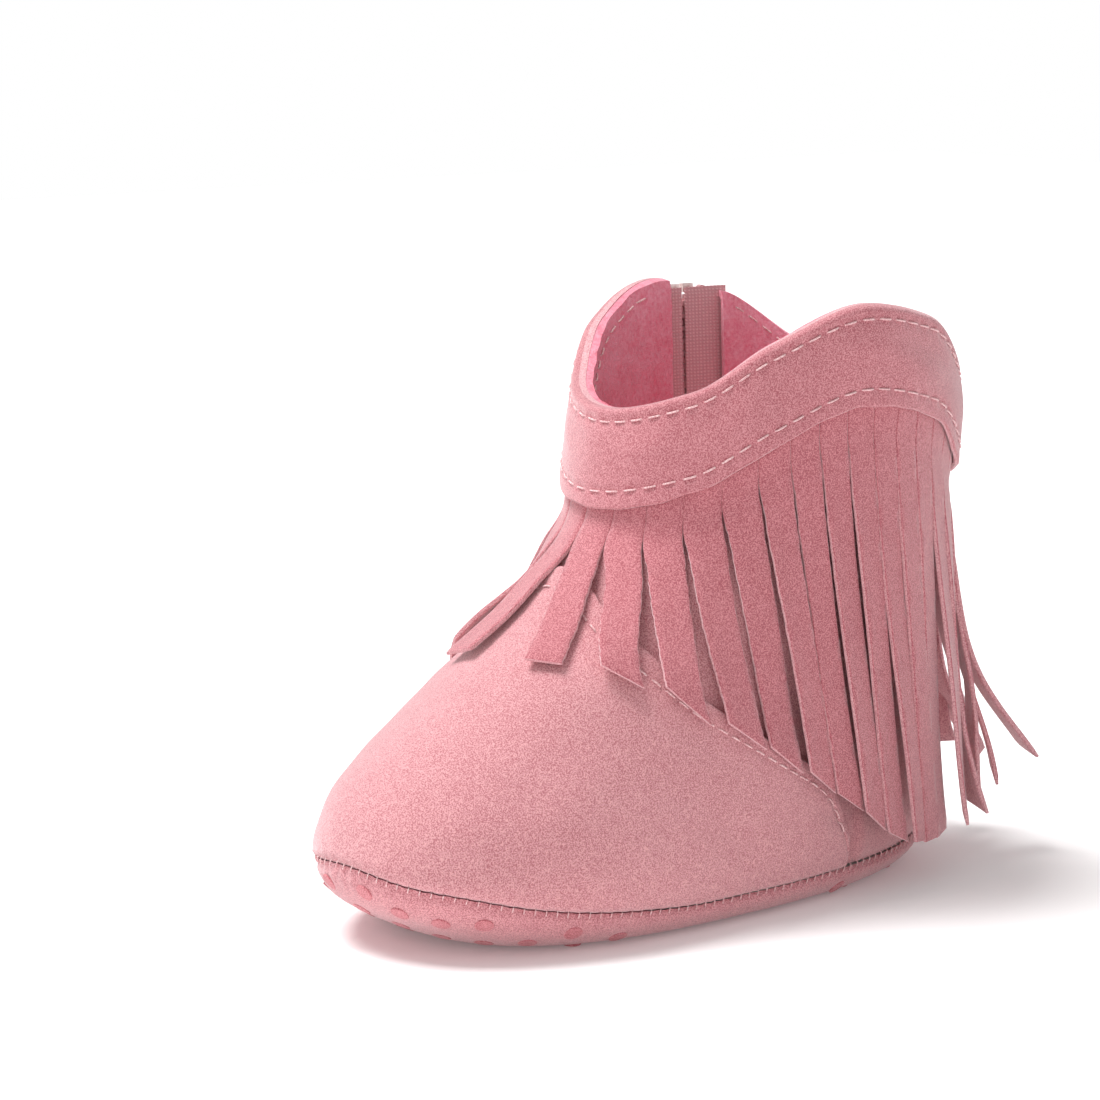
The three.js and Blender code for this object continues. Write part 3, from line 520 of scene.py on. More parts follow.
def material(name, group, values, sheen=0.0, sheen_tint=(1, 1, 1, 1), bump=0.2, bump_depth=0.0002, **fixed):
    """A Principled material whose colour, roughness and relief come from a node group."""
    made = bpy.data.materials.new(name)
    made.use_nodes = True
    tree = made.node_tree
    shader = tree.nodes["Principled BSDF"]
    effect = tree.nodes.new("ShaderNodeGroup")
    effect.node_tree = group
    for socket, value in values.items():
        effect.inputs[socket].default_value = value
    tree.links.new(effect.outputs["Colour"], shader.inputs["Base Color"])
    tree.links.new(effect.outputs["Roughness"], shader.inputs["Roughness"])
    relief = tree.nodes.new("ShaderNodeBump")
    relief.inputs["Strength"].default_value = bump
    relief.inputs["Distance"].default_value = bump_depth
    tree.links.new(effect.outputs["Height"], relief.inputs["Height"])
    tree.links.new(relief.outputs["Normal"], shader.inputs["Normal"])
    shader.inputs["Sheen Weight"].default_value = sheen
    shader.inputs["Sheen Roughness"].default_value = 0.45
    shader.inputs["Sheen Tint"].default_value = sheen_tint
    shader.inputs["Specular IOR Level"].default_value = 0.15
    for socket, value in fixed.items():
        shader.inputs[socket.replace("_", " ")].default_value = value
    return made


def suede(name, deep, pale, sheen=0.8):
    values = {"Deep": (*deep, 1), "Pale": (*pale, 1), "Brushed": 0.5}
    return material(name, nap, values, sheen, (1, 0.9, 0.91, 1), bump=0.5, bump_depth=0.0003)


cut_edge = suede("suede_cut_edge", (0.58, 0.24, 0.27), (0.84, 0.5, 0.52))
suede_back = suede("suede_back", (0.5, 0.2, 0.23), (0.76, 0.43, 0.45))


def piece(name, vertices, faces, materials, face_materials=None, sharp=42):
    """A mesh object from points in millimetres."""
    mesh = bpy.data.meshes.new(name)
    mesh.from_pydata((np.asarray(vertices, float).reshape(-1, 3) / 1000).tolist(), [], faces)
    for made in materials:
        mesh.materials.append(made)
    if face_materials is not None:
        mesh.polygons.foreach_set("material_index", face_materials)
    mesh.polygons.foreach_set("use_smooth", [True] * len(mesh.polygons))
    mesh.set_sharp_from_angle(angle=math.radians(sharp))
    made = bpy.data.objects.new(name, mesh)
    bpy.context.collection.objects.link(made)
    return made


def stand_in(made, node, slot):
    """The piece takes the place of a CAD node on the bootie's own body and names its material slot."""
    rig.replaces(made, node)
    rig.slot(made, slot)
    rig.ride(made, "bootie")


def grid_faces(columns, rows, first=0, flip=False):
    i, j = np.meshgrid(np.arange(columns), np.arange(rows), indexing="ij")
    a = first + i * (rows + 1) + j
    quads = np.stack([a, a + rows + 1, a + rows + 2, a + 1], -1).reshape(-1, 4)
    return quads[:, ::-1] if flip else quads


def cloth(name, outer, inner, materials, sharp=42):
    """A closed sheet between two grids of points: face, cut edge and back each take their material."""
    columns, rows = outer.shape[0] - 1, outer.shape[1] - 1
    count = (columns + 1) * (rows + 1)
    ids = np.arange(count).reshape(columns + 1, rows + 1)
    border = np.concatenate([ids[:, 0], ids[-1, 1:], ids[-2::-1, -1], ids[0, -2:0:-1]])
    ahead = np.roll(border, -1)
    rim_quads = np.stack([border, border + count, ahead + count, ahead], -1)
    face, back = grid_faces(columns, rows), grid_faces(columns, rows, count, True)
    faces = np.concatenate([face, back, rim_quads])
    kinds = np.repeat([0, 2, 1], [len(face), len(back), len(rim_quads)])
    points = np.concatenate([outer.reshape(-1, 3), inner.reshape(-1, 3)])
    return piece(name, points, faces.tolist(), materials, kinds.tolist(), sharp)


def cut_size(outer):
    """Width, length and area of the flat cut of a sheet, in metres."""
    across = np.linalg.norm(np.diff(outer, axis=0), axis=-1).sum(0).max() / 1000
    down = np.linalg.norm(np.diff(outer, axis=1), axis=-1).sum(1).max() / 1000
    a, b = outer[1:, 1:] - outer[:-1, :-1], outer[1:, :-1] - outer[:-1, 1:]
    area = np.linalg.norm(np.cross(a, b), axis=-1).sum() / 2 / 1e6
    return {"flat": (float(across), float(down)), "area": float(min(area, across * down))}


def rows_between(count, height, edge=0.3):
    """Shares of the way up a sheet, with a narrow row at each cut edge."""
    inner = np.linspace(edge / height, 1 - edge / height, count - 1)
    return np.concatenate(([0], inner, [1]))


def rounded(columns, rows, thickness, amount=0.28):
    """How much the cut edges of a sheet are worn in from its two faces."""
    worn = np.zeros((columns + 1, rows + 1))
    worn[:, [0, -1]] = amount * thickness
    worn[[0, -1], :] = amount * thickness
    return worn


def threads(name, paths, radius, made_of):
    """One mesh of many short round threads, each along its own row of points."""
    sides = 6
    angles = ROUND * np.arange(sides) / sides
    points, faces = [], []
    for path in paths:
        way = np.gradient(path, axis=0)
        way /= np.linalg.norm(way, axis=1, keepdims=True)
        side = np.cross(way, (0.31, 0.17, 0.93))
        side /= np.linalg.norm(side, axis=1, keepdims=True)
        lift = np.cross(way, side)
        swell = np.full(len(path), radius)
        swell[[0, -1]] *= 0.45
        ring = side[:, None] * np.cos(angles)[:, None] + lift[:, None] * np.sin(angles)[:, None]
        first = sum(len(p) for p in points)
        points.append((path[:, None] + ring * swell[:, None, None]).reshape(-1, 3))
        for k in range(len(path) - 1):
            for i in range(sides):
                a, b = first + k * sides + i, first + k * sides + (i + 1) % sides
                faces.append((a, b, b + sides, a + sides))
        last = first + (len(path) - 1) * sides
        faces.append(tuple(first + i for i in reversed(range(sides))))
        faces.append(tuple(last + i for i in range(sides)))
    return piece(name, np.concatenate(points), faces, [made_of], sharp=80)


twist, twist_in, twist_out = finish_group("thread_twist", Deep=(0.7, 0.4, 0.4, 1), Pale=(1, 0.8, 0.8, 1))
plies = noise(twist, 3600, 1, 0.4)
plies_seen = spread(twist, plies, 0.35, 0.65)
put_out(twist, twist_in, twist_out, plies_seen, spread(twist, plies, 0.3, 0.7, 0.5, 0.75), plies)
sewing_thread = material(
    "sewing_thread", twist, {"Deep": (0.7, 0.36, 0.38, 1), "Pale": (0.93, 0.66, 0.66, 1)},
    sheen=0.2, bump=0.3,
)


# Sole: a cup of the same suede, turned up round the edge to the seam and pulled in by the whip stitch.
# Rows of soft rubbery grip dots are printed on it, and they run on up the turned edge.
SUEDE = 1.0
LAYER_GAP = 0.15
SOLE_MIDDLE = (0, 3)
DOT_HEIGHT = 0.5
DOT_RADIUS = 1.65
DOT_SUNK = 0.22
DOT_SIDES = 18
WALL_DOT_SHARE = 0.22
DOT_ROW = 5.05
DOT_PITCH = 10.1
FORM_FLOOR = DOT_HEIGHT + SUEDE + LAYER_GAP
STITCH_PITCH = 2.0
OUTSIDE = LAYER_GAP + SUEDE
WALL_SWELL = 0.25
WALL_ROWS = 16
sole_seam = round_shoe([(0, 14.5), (12, 11.5), (24, 6.8), (40, 4.6), (180, 4.6)])
SEAM_GROOVE = 1.3

sole_suede = suede("sole_suede", (0.48, 0.15, 0.175), (0.8, 0.385, 0.41))
dot_rubber = suede("grip_dot_rubber", (0.5, 0.13, 0.155), (0.76, 0.31, 0.335), 0.3)

around = sweep(-math.pi, math.pi, 640)[:-1]
seam_line = at(around, sole_seam(around), OUTSIDE)
seam_lengths = lengths_along(seam_line)
stitches = int(round((seam_lengths[-1] + 0.5) / STITCH_PITCH))
pull_in = 0.5 + 0.5 * np.cos(ROUND * stitches * np.arange(len(around)) / len(around))


def drawn_in(ring, share):
    """A ring drawn in towards the middle of the sole."""
    smaller = ring.copy()
    smaller[:, :2] = SOLE_MIDDLE + (ring[:, :2] - SOLE_MIDDLE) * share
    return smaller


def closed_rings(name, rings, lowest, highest, made_of, sharp):
    """A solid of rings that run from the middle of its underside, out and over, to the middle of its top."""
    count = len(rings[0])
    here = np.arange(count)
    ahead = (here + 1) % count
    faces = []
    for first in range(0, (len(rings) - 1) * count, count):
        a, b = first + here, first + ahead
        faces += np.stack([a, b, b + count, a + count], -1).tolist()
    top = (len(rings) - 1) * count
    for i, j in enumerate(ahead.tolist()):
        faces.append((top + count, j, i))
        faces.append((top + count + 1, top + i, top + j))
    points = np.concatenate(rings + [[(*SOLE_MIDDLE, lowest)], [(*SOLE_MIDDLE, highest)]])
    return piece(name, points, faces, [made_of], sharp=sharp)


wall = []
for share in np.arange(WALL_ROWS + 1) / WALL_ROWS:
    tuck = 0.75 * smooth((share - 0.86) / 0.14) + 0.22 * pull_in * smooth((share - 0.6) / 0.4)
    z = FORM_FLOOR + share * (sole_seam(around) + 0.55 - FORM_FLOOR)
    wall.append(at(around, z, OUTSIDE + WALL_SWELL * math.sin(math.pi * share) - tuck))
under = []
for share in (0.15, 0.3, 0.45, 0.6, 0.75, 0.88, 0.95, 0.985):
    ring = drawn_in(wall[0], share)
    ring[:, 2] = DOT_HEIGHT + max(0, share - 0.9) ** 2 * 60 * (wall[0][:, 2] - DOT_HEIGHT)
    under.append(ring)
inside_top = sole_seam(around) + 0.2
inside = [at(around, FORM_FLOOR + k / 6 * (inside_top - FORM_FLOOR), 0.2) for k in range(6, -1, -1)]
floor_rings = [drawn_in(inside[-1], share) for share in (0.9, 0.6, 0.3)]
sole_rings = under + wall + inside + floor_rings
sole_cup = closed_rings("sole_cup_suede", sole_rings, DOT_HEIGHT, FORM_FLOOR, sole_suede, 60)
stand_in(sole_cup, "outsole", "sole_suede")
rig.sheet(sole_cup, flat=(0.075, 0.145), area=0.0088, held="stretched", rests_on=["table_top"])

dot_turns = ROUND * np.arange(DOT_SIDES) / DOT_SIDES
dot_points, dot_faces = [], []


def add_dot(centre, normal, raised=1.0):
    side = np.cross(normal, (0.1, 1, 0.05))
    side /= np.linalg.norm(side)
    other = np.cross(normal, side)
    first = sum(len(p) for p in dot_points)
    top = DOT_HEIGHT * raised
    rings = [(1.0, -DOT_SUNK), (0.985, 0.6 * top), (0.9, 0.93 * top), (0.55, top)]
    for radius, height in rings:
        circle = side * np.cos(dot_turns)[:, None] + other * np.sin(dot_turns)[:, None]
        dot_points.append(centre + circle * DOT_RADIUS * radius + normal * height)
    dot_points.append((centre + normal * top)[None])
    dot_points.append((centre - normal * DOT_SUNK)[None])
    for k in range(len(rings) - 1):
        for i in range(DOT_SIDES):
            a, b = first + DOT_SIDES * k + i, first + DOT_SIDES * k + (i + 1) % DOT_SIDES
            dot_faces.append((a, b, b + DOT_SIDES, a + DOT_SIDES))
    hub = first + DOT_SIDES * len(rings)
    for i in range(DOT_SIDES):
        ahead = (i + 1) % DOT_SIDES
        dot_faces.append((hub, hub - DOT_SIDES + i, hub - DOT_SIDES + ahead))
        dot_faces.append((hub + 1, first + ahead, first + i))


rise_shares = np.linspace(0, 1, 60)
for row in range(-16, 17):
    for k in range(-5, 6):
        x, y = k * DOT_PITCH + (0 if row % 2 == 0 else DOT_PITCH / 2), row * DOT_ROW
        phi = math.atan2(x, AXIS_Y - y)
        foot = at(phi, FORM_FLOOR, OUTSIDE)
        past = math.hypot(x, y - AXIS_Y) - math.hypot(foot[0], foot[1] - AXIS_Y)
        if past < -DOT_RADIUS - 0.2:
            add_dot(np.array([x, y, DOT_HEIGHT]), np.array([0, 0, -1.0]))
            continue
        heights = FORM_FLOOR + rise_shares * (sole_seam(phi) - FORM_FLOOR)
        line = at(phi, heights, OUTSIDE + WALL_SWELL * np.sin(math.pi * rise_shares))
        lengths = lengths_along(line)
        if 1.2 < past < lengths[-1] - DOT_RADIUS - 0.5:
            z = np.interp(past, lengths, heights)
            place = np.array([np.interp(past, lengths, line[:, i]) for i in range(3)])
            add_dot(place, facing(np.array(phi), np.array(z)), WALL_DOT_SHARE)
grip_dots = piece("grip_dots", np.concatenate(dot_points), dot_faces, [dot_rubber], sharp=70)
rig.slot(grip_dots, "sole_suede")
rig.ride(grip_dots, "bootie")

seam_paths = []
reach_over = np.linspace(-1, 1, 7)
for k in range(stitches):
    phi = np.interp(k / stitches * seam_lengths[-1], seam_lengths, around)
    z = sole_seam(phi) + SEAM_GROOVE / 2 + reach_over * 0.75
    lift = 0.05 + 0.12 * (1 - reach_over ** 4) - 0.7 * (np.abs(reach_over) > 0.9)
    seam_paths.append(at(phi + reach_over * 0.004, z, OUTSIDE + lift - 0.5))
stand_in(threads("sole_whip_stitch", seam_paths, 0.12, sewing_thread), "sole_seam_thread", "thread")


# Foam midsole and the fleece-topped sock liner on it: two soft pads that lie loose in the sole.
foam, foam_in, foam_out = finish_group("open_foam", Deep=(0.7, 0.66, 0.6, 1), Pale=(0.95, 0.92, 0.88, 1))
cells = noise(foam, 1500, 2, 0.6)
cells_seen = spread(foam, cells, 0.35, 0.65)
put_out(foam, foam_in, foam_out, cells_seen, spread(foam, cells, 0.3, 0.7, 0.8, 1), cells)
foam_white = material("foam_white", foam, {}, bump=0.5)

pile, pile_in, pile_out = finish_group("fleece_pile", Deep=(0.5, 0.1, 0.15, 1), Pale=(0.8, 0.35, 0.4, 1))
tufts = noise(pile, 1500, 4, 0.7)
tangles = noise(pile, 260, 3, 0.6)
fluff = combine(pile, "ADD", spread(pile, tufts, 0.3, 0.7, 0, 0.7), spread(pile, tangles, 0.3, 0.7, 0, 0.4))
pile_relief = combine(pile, "ADD", tufts, tangles)
put_out(pile, pile_in, pile_out, fluff, spread(pile, tufts, 0.3, 0.7, 0.85, 1), pile_relief)
# The fleece's colours are raised close to full red, above its own colour: painted light, making up for the little
# light that reaches the lining inside the shaft.
fleece = material(
    "lining_fleece", pile, {"Deep": (0.82, 0.15, 0.23, 1), "Pale": (0.98, 0.46, 0.56, 1)},
    sheen=0.8, sheen_tint=(1, 0.66, 0.73, 1), bump=0.8, bump_depth=0.0006,
)


def pad(name, node, slot, inset, made_of, crown, fill):
    turn = sweep(-math.pi, math.pi, 160)[:-1]
    low, high = (corner[2] * 1000 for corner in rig.box(node))
    middle = (low + high) / 2
    profile = [(low, 0.9), (low, 0.35), (low + 0.3, 0.08), (middle, 0), (high - 0.35, 0.08), (high, 0.4)]
    rings = []
    for z, cut in profile:
        ring = on_form(turn, z + 0 * turn) + facing(turn, z + 0 * turn) * (-inset - cut)
        ring[:, 2] = z
        rings.append(ring)
    for share in (0.97, 0.9, 0.7, 0.45, 0.2):
        ring = drawn_in(rings[5], share)
        ring[:, 2] = high + crown * (1 - share ** 2) * (1 + 0.3 * dents(ring, 25, 9))
        rings.append(ring)
    made = closed_rings(name, rings, low, high + crown, made_of, 70)
    stand_in(made, node, slot)
    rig.padded(made, fill=fill)


pad("midsole_foam_pad", "midsole_foam", "foam", 0.4, foam_white, 0.05, 0.9)
pad("fleece_insole_pad", "insole", "lining_fleece", 1.9, fleece, 0.25, 0.8)


# Edges round the shoe, which the upper, the collar and the fringe share.
COLLAR_DEPTH = 17.5
LAP = 6
rim = round_shoe([
    (0, FRONT_HEIGHT), (30, FRONT_HEIGHT + 0.2 * (SIDE_HEIGHT - FRONT_HEIGHT)),
    (55, FRONT_HEIGHT + 0.64 * (SIDE_HEIGHT - FRONT_HEIGHT)), (90, SIDE_HEIGHT),
    (120, BACK_HEIGHT + 0.84 * (SIDE_HEIGHT - BACK_HEIGHT)),
    (150, BACK_HEIGHT + 0.26 * (SIDE_HEIGHT - BACK_HEIGHT)), (180, BACK_HEIGHT),
])
FRONT_HEAD = 3.5
slit_drop = round_shoe([(0, FRONT_HEAD), (95, 1.2), (180, 1.2)])
vamp_edge = round_shoe([
    (0, 59), (24, 49), (40, 38), (56, 30), (76, 22), (84, 15), (88, 9), (91, -20), (180, -20),
])


def collar_edge(phi):
    return rim(phi) - COLLAR_DEPTH


def slit_root(phi):
    return collar_edge(phi) - slit_drop(phi)


def upper_foot(phi):
    return sole_seam(phi) + SEAM_GROOVE


def quarter_foot(phi):
    over = vamp_edge(np.abs(phi) + math.radians(LAP * 1.3)) - LAP / 3
    return np.maximum(upper_foot(phi), over)


# Vamp: one piece of suede over the toe and the instep, lasted smooth, its raw back edge stitched down
# on the quarters and its foot turned into the sole seam.
upper_suede = suede("upper_suede", (0.49, 0.165, 0.19), (0.79, 0.41, 0.43))
shell_suede = [upper_suede, cut_edge, suede_back]
VAMP_END = math.radians(88)
VAMP_COLUMNS, VAMP_ROWS = 300, 60
VAMP_STITCH_INSET = 3.2

vamp_phi = sweep(-VAMP_END, VAMP_END, VAMP_COLUMNS)[:, None]
vamp_share = rows_between(VAMP_ROWS, 26)[None]
vamp_low, vamp_high = upper_foot(vamp_phi) - 0.7, vamp_edge(vamp_phi)
vamp_z = vamp_low + (vamp_high - vamp_low) * vamp_share
off_seam = vamp_z - vamp_low
roll = 0.75 * smooth(1 - off_seam / 1.1)
stitch_groove = 0.22 * np.exp(-((vamp_z - (vamp_high - VAMP_STITCH_INSET)) / 0.7) ** 2)
ragged = 0.1 * dents(on_form(vamp_phi, vamp_high), 2.2, 11)
vamp_z = vamp_z + ragged * (vamp_share == 1)
worn = rounded(VAMP_COLUMNS, VAMP_ROWS, SUEDE)
vamp_pull = 0.2 * np.interp(vamp_phi, around, pull_in) * smooth(1 - off_seam / 3)
crease = 0.35 * np.exp(-((vamp_z - 13 - 6 * np.sin(vamp_phi * 2)) / 1.6) ** 2)
crease = crease * smooth((np.abs(vamp_phi) - 1.1) / 0.3)
vamp_face = OUTSIDE - roll - stitch_groove - vamp_pull - crease
vamp_outer = at(vamp_phi, vamp_z, vamp_face - worn)
vamp_inner = at(vamp_phi, vamp_z, np.maximum(vamp_face - SUEDE, -0.6) + worn)
vamp = cloth("vamp_suede", vamp_outer, vamp_inner, shell_suede)
stand_in(vamp, "vamp", "upper_suede")
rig.sheet(vamp, held="stretched", rests_on=["sole_cup_suede"], **cut_size(vamp_outer))


# Quarters: one on the outer side and two on the inner side, with the zip between them. They meet
# under the fringe at the front, at the back seam and below the zip.
ZIP_BOTTOM = 43
ZIP_OPENING = 4
SHAFT_HALF = SHAFT_WIDTH / 2
SEAM_HALF = LAYER_GAP / SHAFT_HALF
QUARTER_FACE = -LAYER_GAP


def quarter_bulge(phi, z):
    """Behind the vamp the quarter stands out to meet the sole's edge."""
    behind = smooth((np.abs(turned(phi)) - math.radians(92)) / 0.12)
    low = smooth((22 - z) / 14)
    rolled = smooth(1 - (z - upper_foot(phi)) / 1.2)
    return behind * (1.0 * low - 0.7 * rolled)


def quarter(name, node, phi, z):
    columns, rows = phi.shape[0] - 1, phi.shape[1] - 1
    worn = rounded(columns, rows, SUEDE)
    face = QUARTER_FACE + quarter_bulge(phi, z)
    outer, inner = at(phi, z, face - worn), at(phi, z, face - SUEDE + worn)
    made = cloth(name, outer, inner, shell_suede)
    stand_in(made, node, "upper_suede")
    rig.sheet(made, held="stretched", rests_on=["sole_cup_suede"], **cut_size(outer))


quarter_phi = sweep(SEAM_HALF, math.pi - SEAM_HALF, 170)[:, None]
quarter_share = rows_between(60, 80)[None]
quarter_low, quarter_high = quarter_foot(quarter_phi) - 0.65, rim(quarter_phi) - 1
quarter_z = quarter_low + (quarter_high - quarter_low) * quarter_share
quarter("quarter_lateral_suede", "quarter_lateral", quarter_phi + 0 * quarter_z, quarter_z)

OPENING_FOOT = ZIP_BOTTOM - 1.5
ROWS_BELOW, ROWS_ABOVE = 26, 40
for side, far, columns, name in ((1, -SEAM_HALF, 110, "front"), (-1, -math.pi + SEAM_HALF, 80, "back")):
    foot, head = quarter_foot(ZIP), rim(ZIP) - 1
    along = np.linspace(0, 1, columns + 1)[:, None]
    split = (OPENING_FOOT - foot) / (head - foot) * (1 - along) + 0.35 * along
    rows = np.arange(ROWS_BELOW + 2 + ROWS_ABOVE)[None]
    low = split + 0.8 / (head - foot)
    share_above = low + (1 - low) * (rows - ROWS_BELOW - 1) / ROWS_ABOVE
    share = np.where(rows > ROWS_BELOW, share_above, split * rows / ROWS_BELOW)
    half = np.where(rows > ROWS_BELOW, ZIP_OPENING, LAYER_GAP)
    phi = ZIP + (far - ZIP) * along + 0 * share
    for _ in range(3):
        z = quarter_foot(phi) - 0.65 * (share == 0) + (rim(phi) - 1 - quarter_foot(phi)) * share
        near = ZIP + side * half / reach(np.array(ZIP), z)
        phi = near + (far - near) * along
    if side < 0:
        phi, z = phi[::-1], z[::-1]
    quarter(f"quarter_medial_{name}_suede", f"quarter_medial_{name}", phi, z)


# Linings: short-pile fleece, one piece under the vamp and one round the shaft from one side of the
# zip to the other, closed up to the upper at the rim.
COLLAR_OPENING = 4.6
LINING_OPENING = 4.5
LINING_OPENING_BACK = 7.6
FLEECE = 1.4
LINING_FACE = -0.45
BEHIND_TAPE = -2.35
CLOSED_AT_RIM = -1.45
TAPE_HALF = 9
SHAFT_COLUMNS, SHAFT_ROWS = 260, 60
LINING_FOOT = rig.box("insole")[1][2] * 1000 + 0.3
lining_stack = [fleece, fleece, fleece]

VAMP_LINING_END = math.radians(70)
lining_phi = sweep(-VAMP_LINING_END, VAMP_LINING_END, 120)[:, None]
lining_share = rows_between(30, 30)[None]
lining_high = quarter_foot(lining_phi) - 0.9
lining_z = LINING_FOOT + (lining_high - LINING_FOOT) * lining_share
lining_worn = rounded(120, 30, FLEECE)
vamp_lining_outer = at(lining_phi, lining_z, LINING_FACE - lining_worn)
vamp_lining_inner = at(lining_phi, lining_z, LINING_FACE - FLEECE + lining_worn)
vamp_lining = cloth("vamp_lining_fleece", vamp_lining_outer, vamp_lining_inner, lining_stack)
stand_in(vamp_lining, "vamp_lining", "lining_fleece")
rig.sheet(vamp_lining, held="stretched", rests_on=["vamp_suede"], **cut_size(vamp_lining_outer))


def ring_places(half, columns, height, back_half=None, closed=(0, 0)):
    """Angles and heights of a sheet that runs round the shaft from one side of the zip to the other.

    It starts half before the zip's middle line and ends back_half behind it. Where closed gives two other
    distances, the sheet's edges run to those below the zip.
    """
    back_half = back_half or half
    along = (sweep(ZIP, ZIP + ROUND, columns)[:, None] - ZIP) / ROUND
    phi = ZIP + ROUND * along
    for _ in range(3):
        z = height(phi)
        front, back = half / reach(np.array(ZIP), z), back_half / reach(np.array(ZIP), z)
        phi = ZIP + front + (ROUND - front - back) * along
        if any(closed):
            shut = 1 - smooth((z - ZIP_BOTTOM + 7) / 4.5)
            phi -= shut * front * (1 - closed[0] / half) * smooth(1 - along / 0.06)
            phi += shut * back * (1 - closed[1] / back_half) * smooth(1 - (1 - along) / 0.06)
    return phi, z


def over_tape(phi):
    """1 over the zip's tapes and 0 away from them."""
    return 1 - smooth((np.abs(turned(phi - ZIP)) - TAPE_HALF / SHAFT_HALF) / 0.15)


def lining_low(phi):
    over = quarter_foot(turned(phi)) - 4
    return np.where(np.abs(turned(phi)) < VAMP_LINING_END, np.maximum(LINING_FOOT, over), LINING_FOOT)


shaft_share = rows_between(SHAFT_ROWS, 85)[None]
shaft_phi, shaft_z = ring_places(
    LINING_OPENING, SHAFT_COLUMNS,
    lambda phi: lining_low(phi) + (rim(phi) - lining_low(phi)) * shaft_share,
    LINING_OPENING_BACK, (-1.2, 1.5),
)
from_rim = shaft_z - rim(shaft_phi)
closing = smooth((from_rim + 1) / 12 + 1)
crown = smooth((from_rim + 1.4) / 1.2)
by_zip = over_tape(shaft_phi)
loose = (LINING_FACE - FLEECE - 0.3) * (1 - closing) + CLOSED_AT_RIM * closing
lying = loose * (1 - by_zip) + np.minimum(loose, BEHIND_TAPE) * by_zip
shaft_face = lying * (1 - crown) - 0.75 * crown
rim_roll = smooth((from_rim + 2.6) / 2.6)
top_pull = 0.3 * np.exp(-((from_rim + 2.5) / 0.9) ** 2)
shaft_worn = rounded(SHAFT_COLUMNS, SHAFT_ROWS, FLEECE)
fluffy = 0.12 * dents(on_form(shaft_phi, shaft_z), 4, 21)
shaft_outer = at(shaft_phi, shaft_z, shaft_face - shaft_worn)
shaft_inner_d = np.minimum(shaft_face - 0.5, lying - FLEECE) + fluffy + 0.6 * rim_roll + top_pull
shaft_inner = at(shaft_phi, shaft_z - 0.35 * (shaft_share == 1), shaft_inner_d)
shaft_lining = cloth("shaft_lining_fleece", shaft_outer, shaft_inner, lining_stack)
stand_in(shaft_lining, "shaft_lining", "lining_fleece")
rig.sheet(shaft_lining, held="stretched", rests_on=["collar_band_suede"], **cut_size(shaft_outer))


# Fringe: one sheet of suede, slit into 34 strips below its sewn edge, which lies under the collar.
# Each strip hangs from its own root, cut slanting at its end, and lifts there as the suede bends.
FRINGE = 0.9
FRINGE_OPENING = 7
COLLAR_HOLD = 8
STRIP_COUNT = 34
FRONT_WIDER = 0.22
SLIT = 0.12
HEADER_FOOT = 2.6
ROOT_DROP = 0.45
STRIP_ROWS = 46
STRIP_LEVELS = 25
# The fringe takes the upper's suede in darker colours: painted shade, for the shade that the strips hang in on the
# side.
fringe_suede = suede("fringe_suede", (0.4, 0.095, 0.12), (0.68, 0.275, 0.3))
fringe_stack = [fringe_suede, cut_edge, suede_back]
strip_end = round_shoe([
    (0, 47), (10, 46), (18, 42.5), (27.5, 36), (39, 30.5), (50.5, 25), (61.5, 20.2), (72.5, 16.1),
    (82, 12.2), (93, 9.2), (110, 8.2), (125, 9), (150, 12.5), (180, 16.5),
])
# The strips part on the instep, a little towards the inner side. From there their ends have slid off
# and swung towards the heel by the drift, which grows down the strip, and stand out by the flare.
PARTING = math.radians(-14)
DRIFT_BEND = 1.3
drift_back = round_shoe([
    (0, 0), (6, 3.5), (16, 9), (30, 9.5), (50, 8.5), (105, 8), (135, 4), (160, 1), (180, 0),
])
flare = round_shoe([(0, 0.6), (60, 1), (95, 2.5), (125, 3), (145, 5.5), (162, 10), (180, 12)])

header_share = rows_between(8, 5)[None]
header_phi, header_z = ring_places(
    FRINGE_OPENING, 200,
    lambda phi: collar_edge(phi) + HEADER_FOOT + (COLLAR_HOLD - HEADER_FOOT) * header_share,
)
header_worn = rounded(200, 8, FRINGE)
header_outer = at(header_phi, header_z, LAYER_GAP + FRINGE - header_worn)
header_inner = at(header_phi, header_z, LAYER_GAP + header_worn)
header = cloth("fringe_header_suede", header_outer, header_inner, fringe_stack)
stand_in(header, "fringe_header", "fringe_suede")

root_inset = FRINGE_OPENING / float(reach(np.array(ZIP), slit_root(np.array(ZIP))))
root_angles = np.linspace(ZIP + root_inset, ZIP + ROUND - root_inset, 721)
root_line = on_form(root_angles, slit_root(root_angles))
root_line += facing(root_angles, slit_root(root_angles)) * (LAYER_GAP + FRINGE)
root_steps = np.linalg.norm(np.diff(root_line[:, :2], axis=0), axis=1)
root_lengths = np.concatenate(([0], np.cumsum(root_steps)))
wider = 1 + FRONT_WIDER * smooth((math.radians(65) - np.abs(turned(root_angles[1:]))) / math.radians(30))
root_places = np.concatenate(([0], np.cumsum(root_steps / wider)))
root_places *= STRIP_COUNT / root_places[-1]
hinge_of = {j["child"]: j for j in frame["record"]["behaviour"]["joints"] if j["type"] == "hinge"}

across_share = np.array([0, 0.035, 0.2, 0.4, 0.5, 0.6, 0.8, 0.965, 1])
strips = []
draw = np.random.default_rng(28)


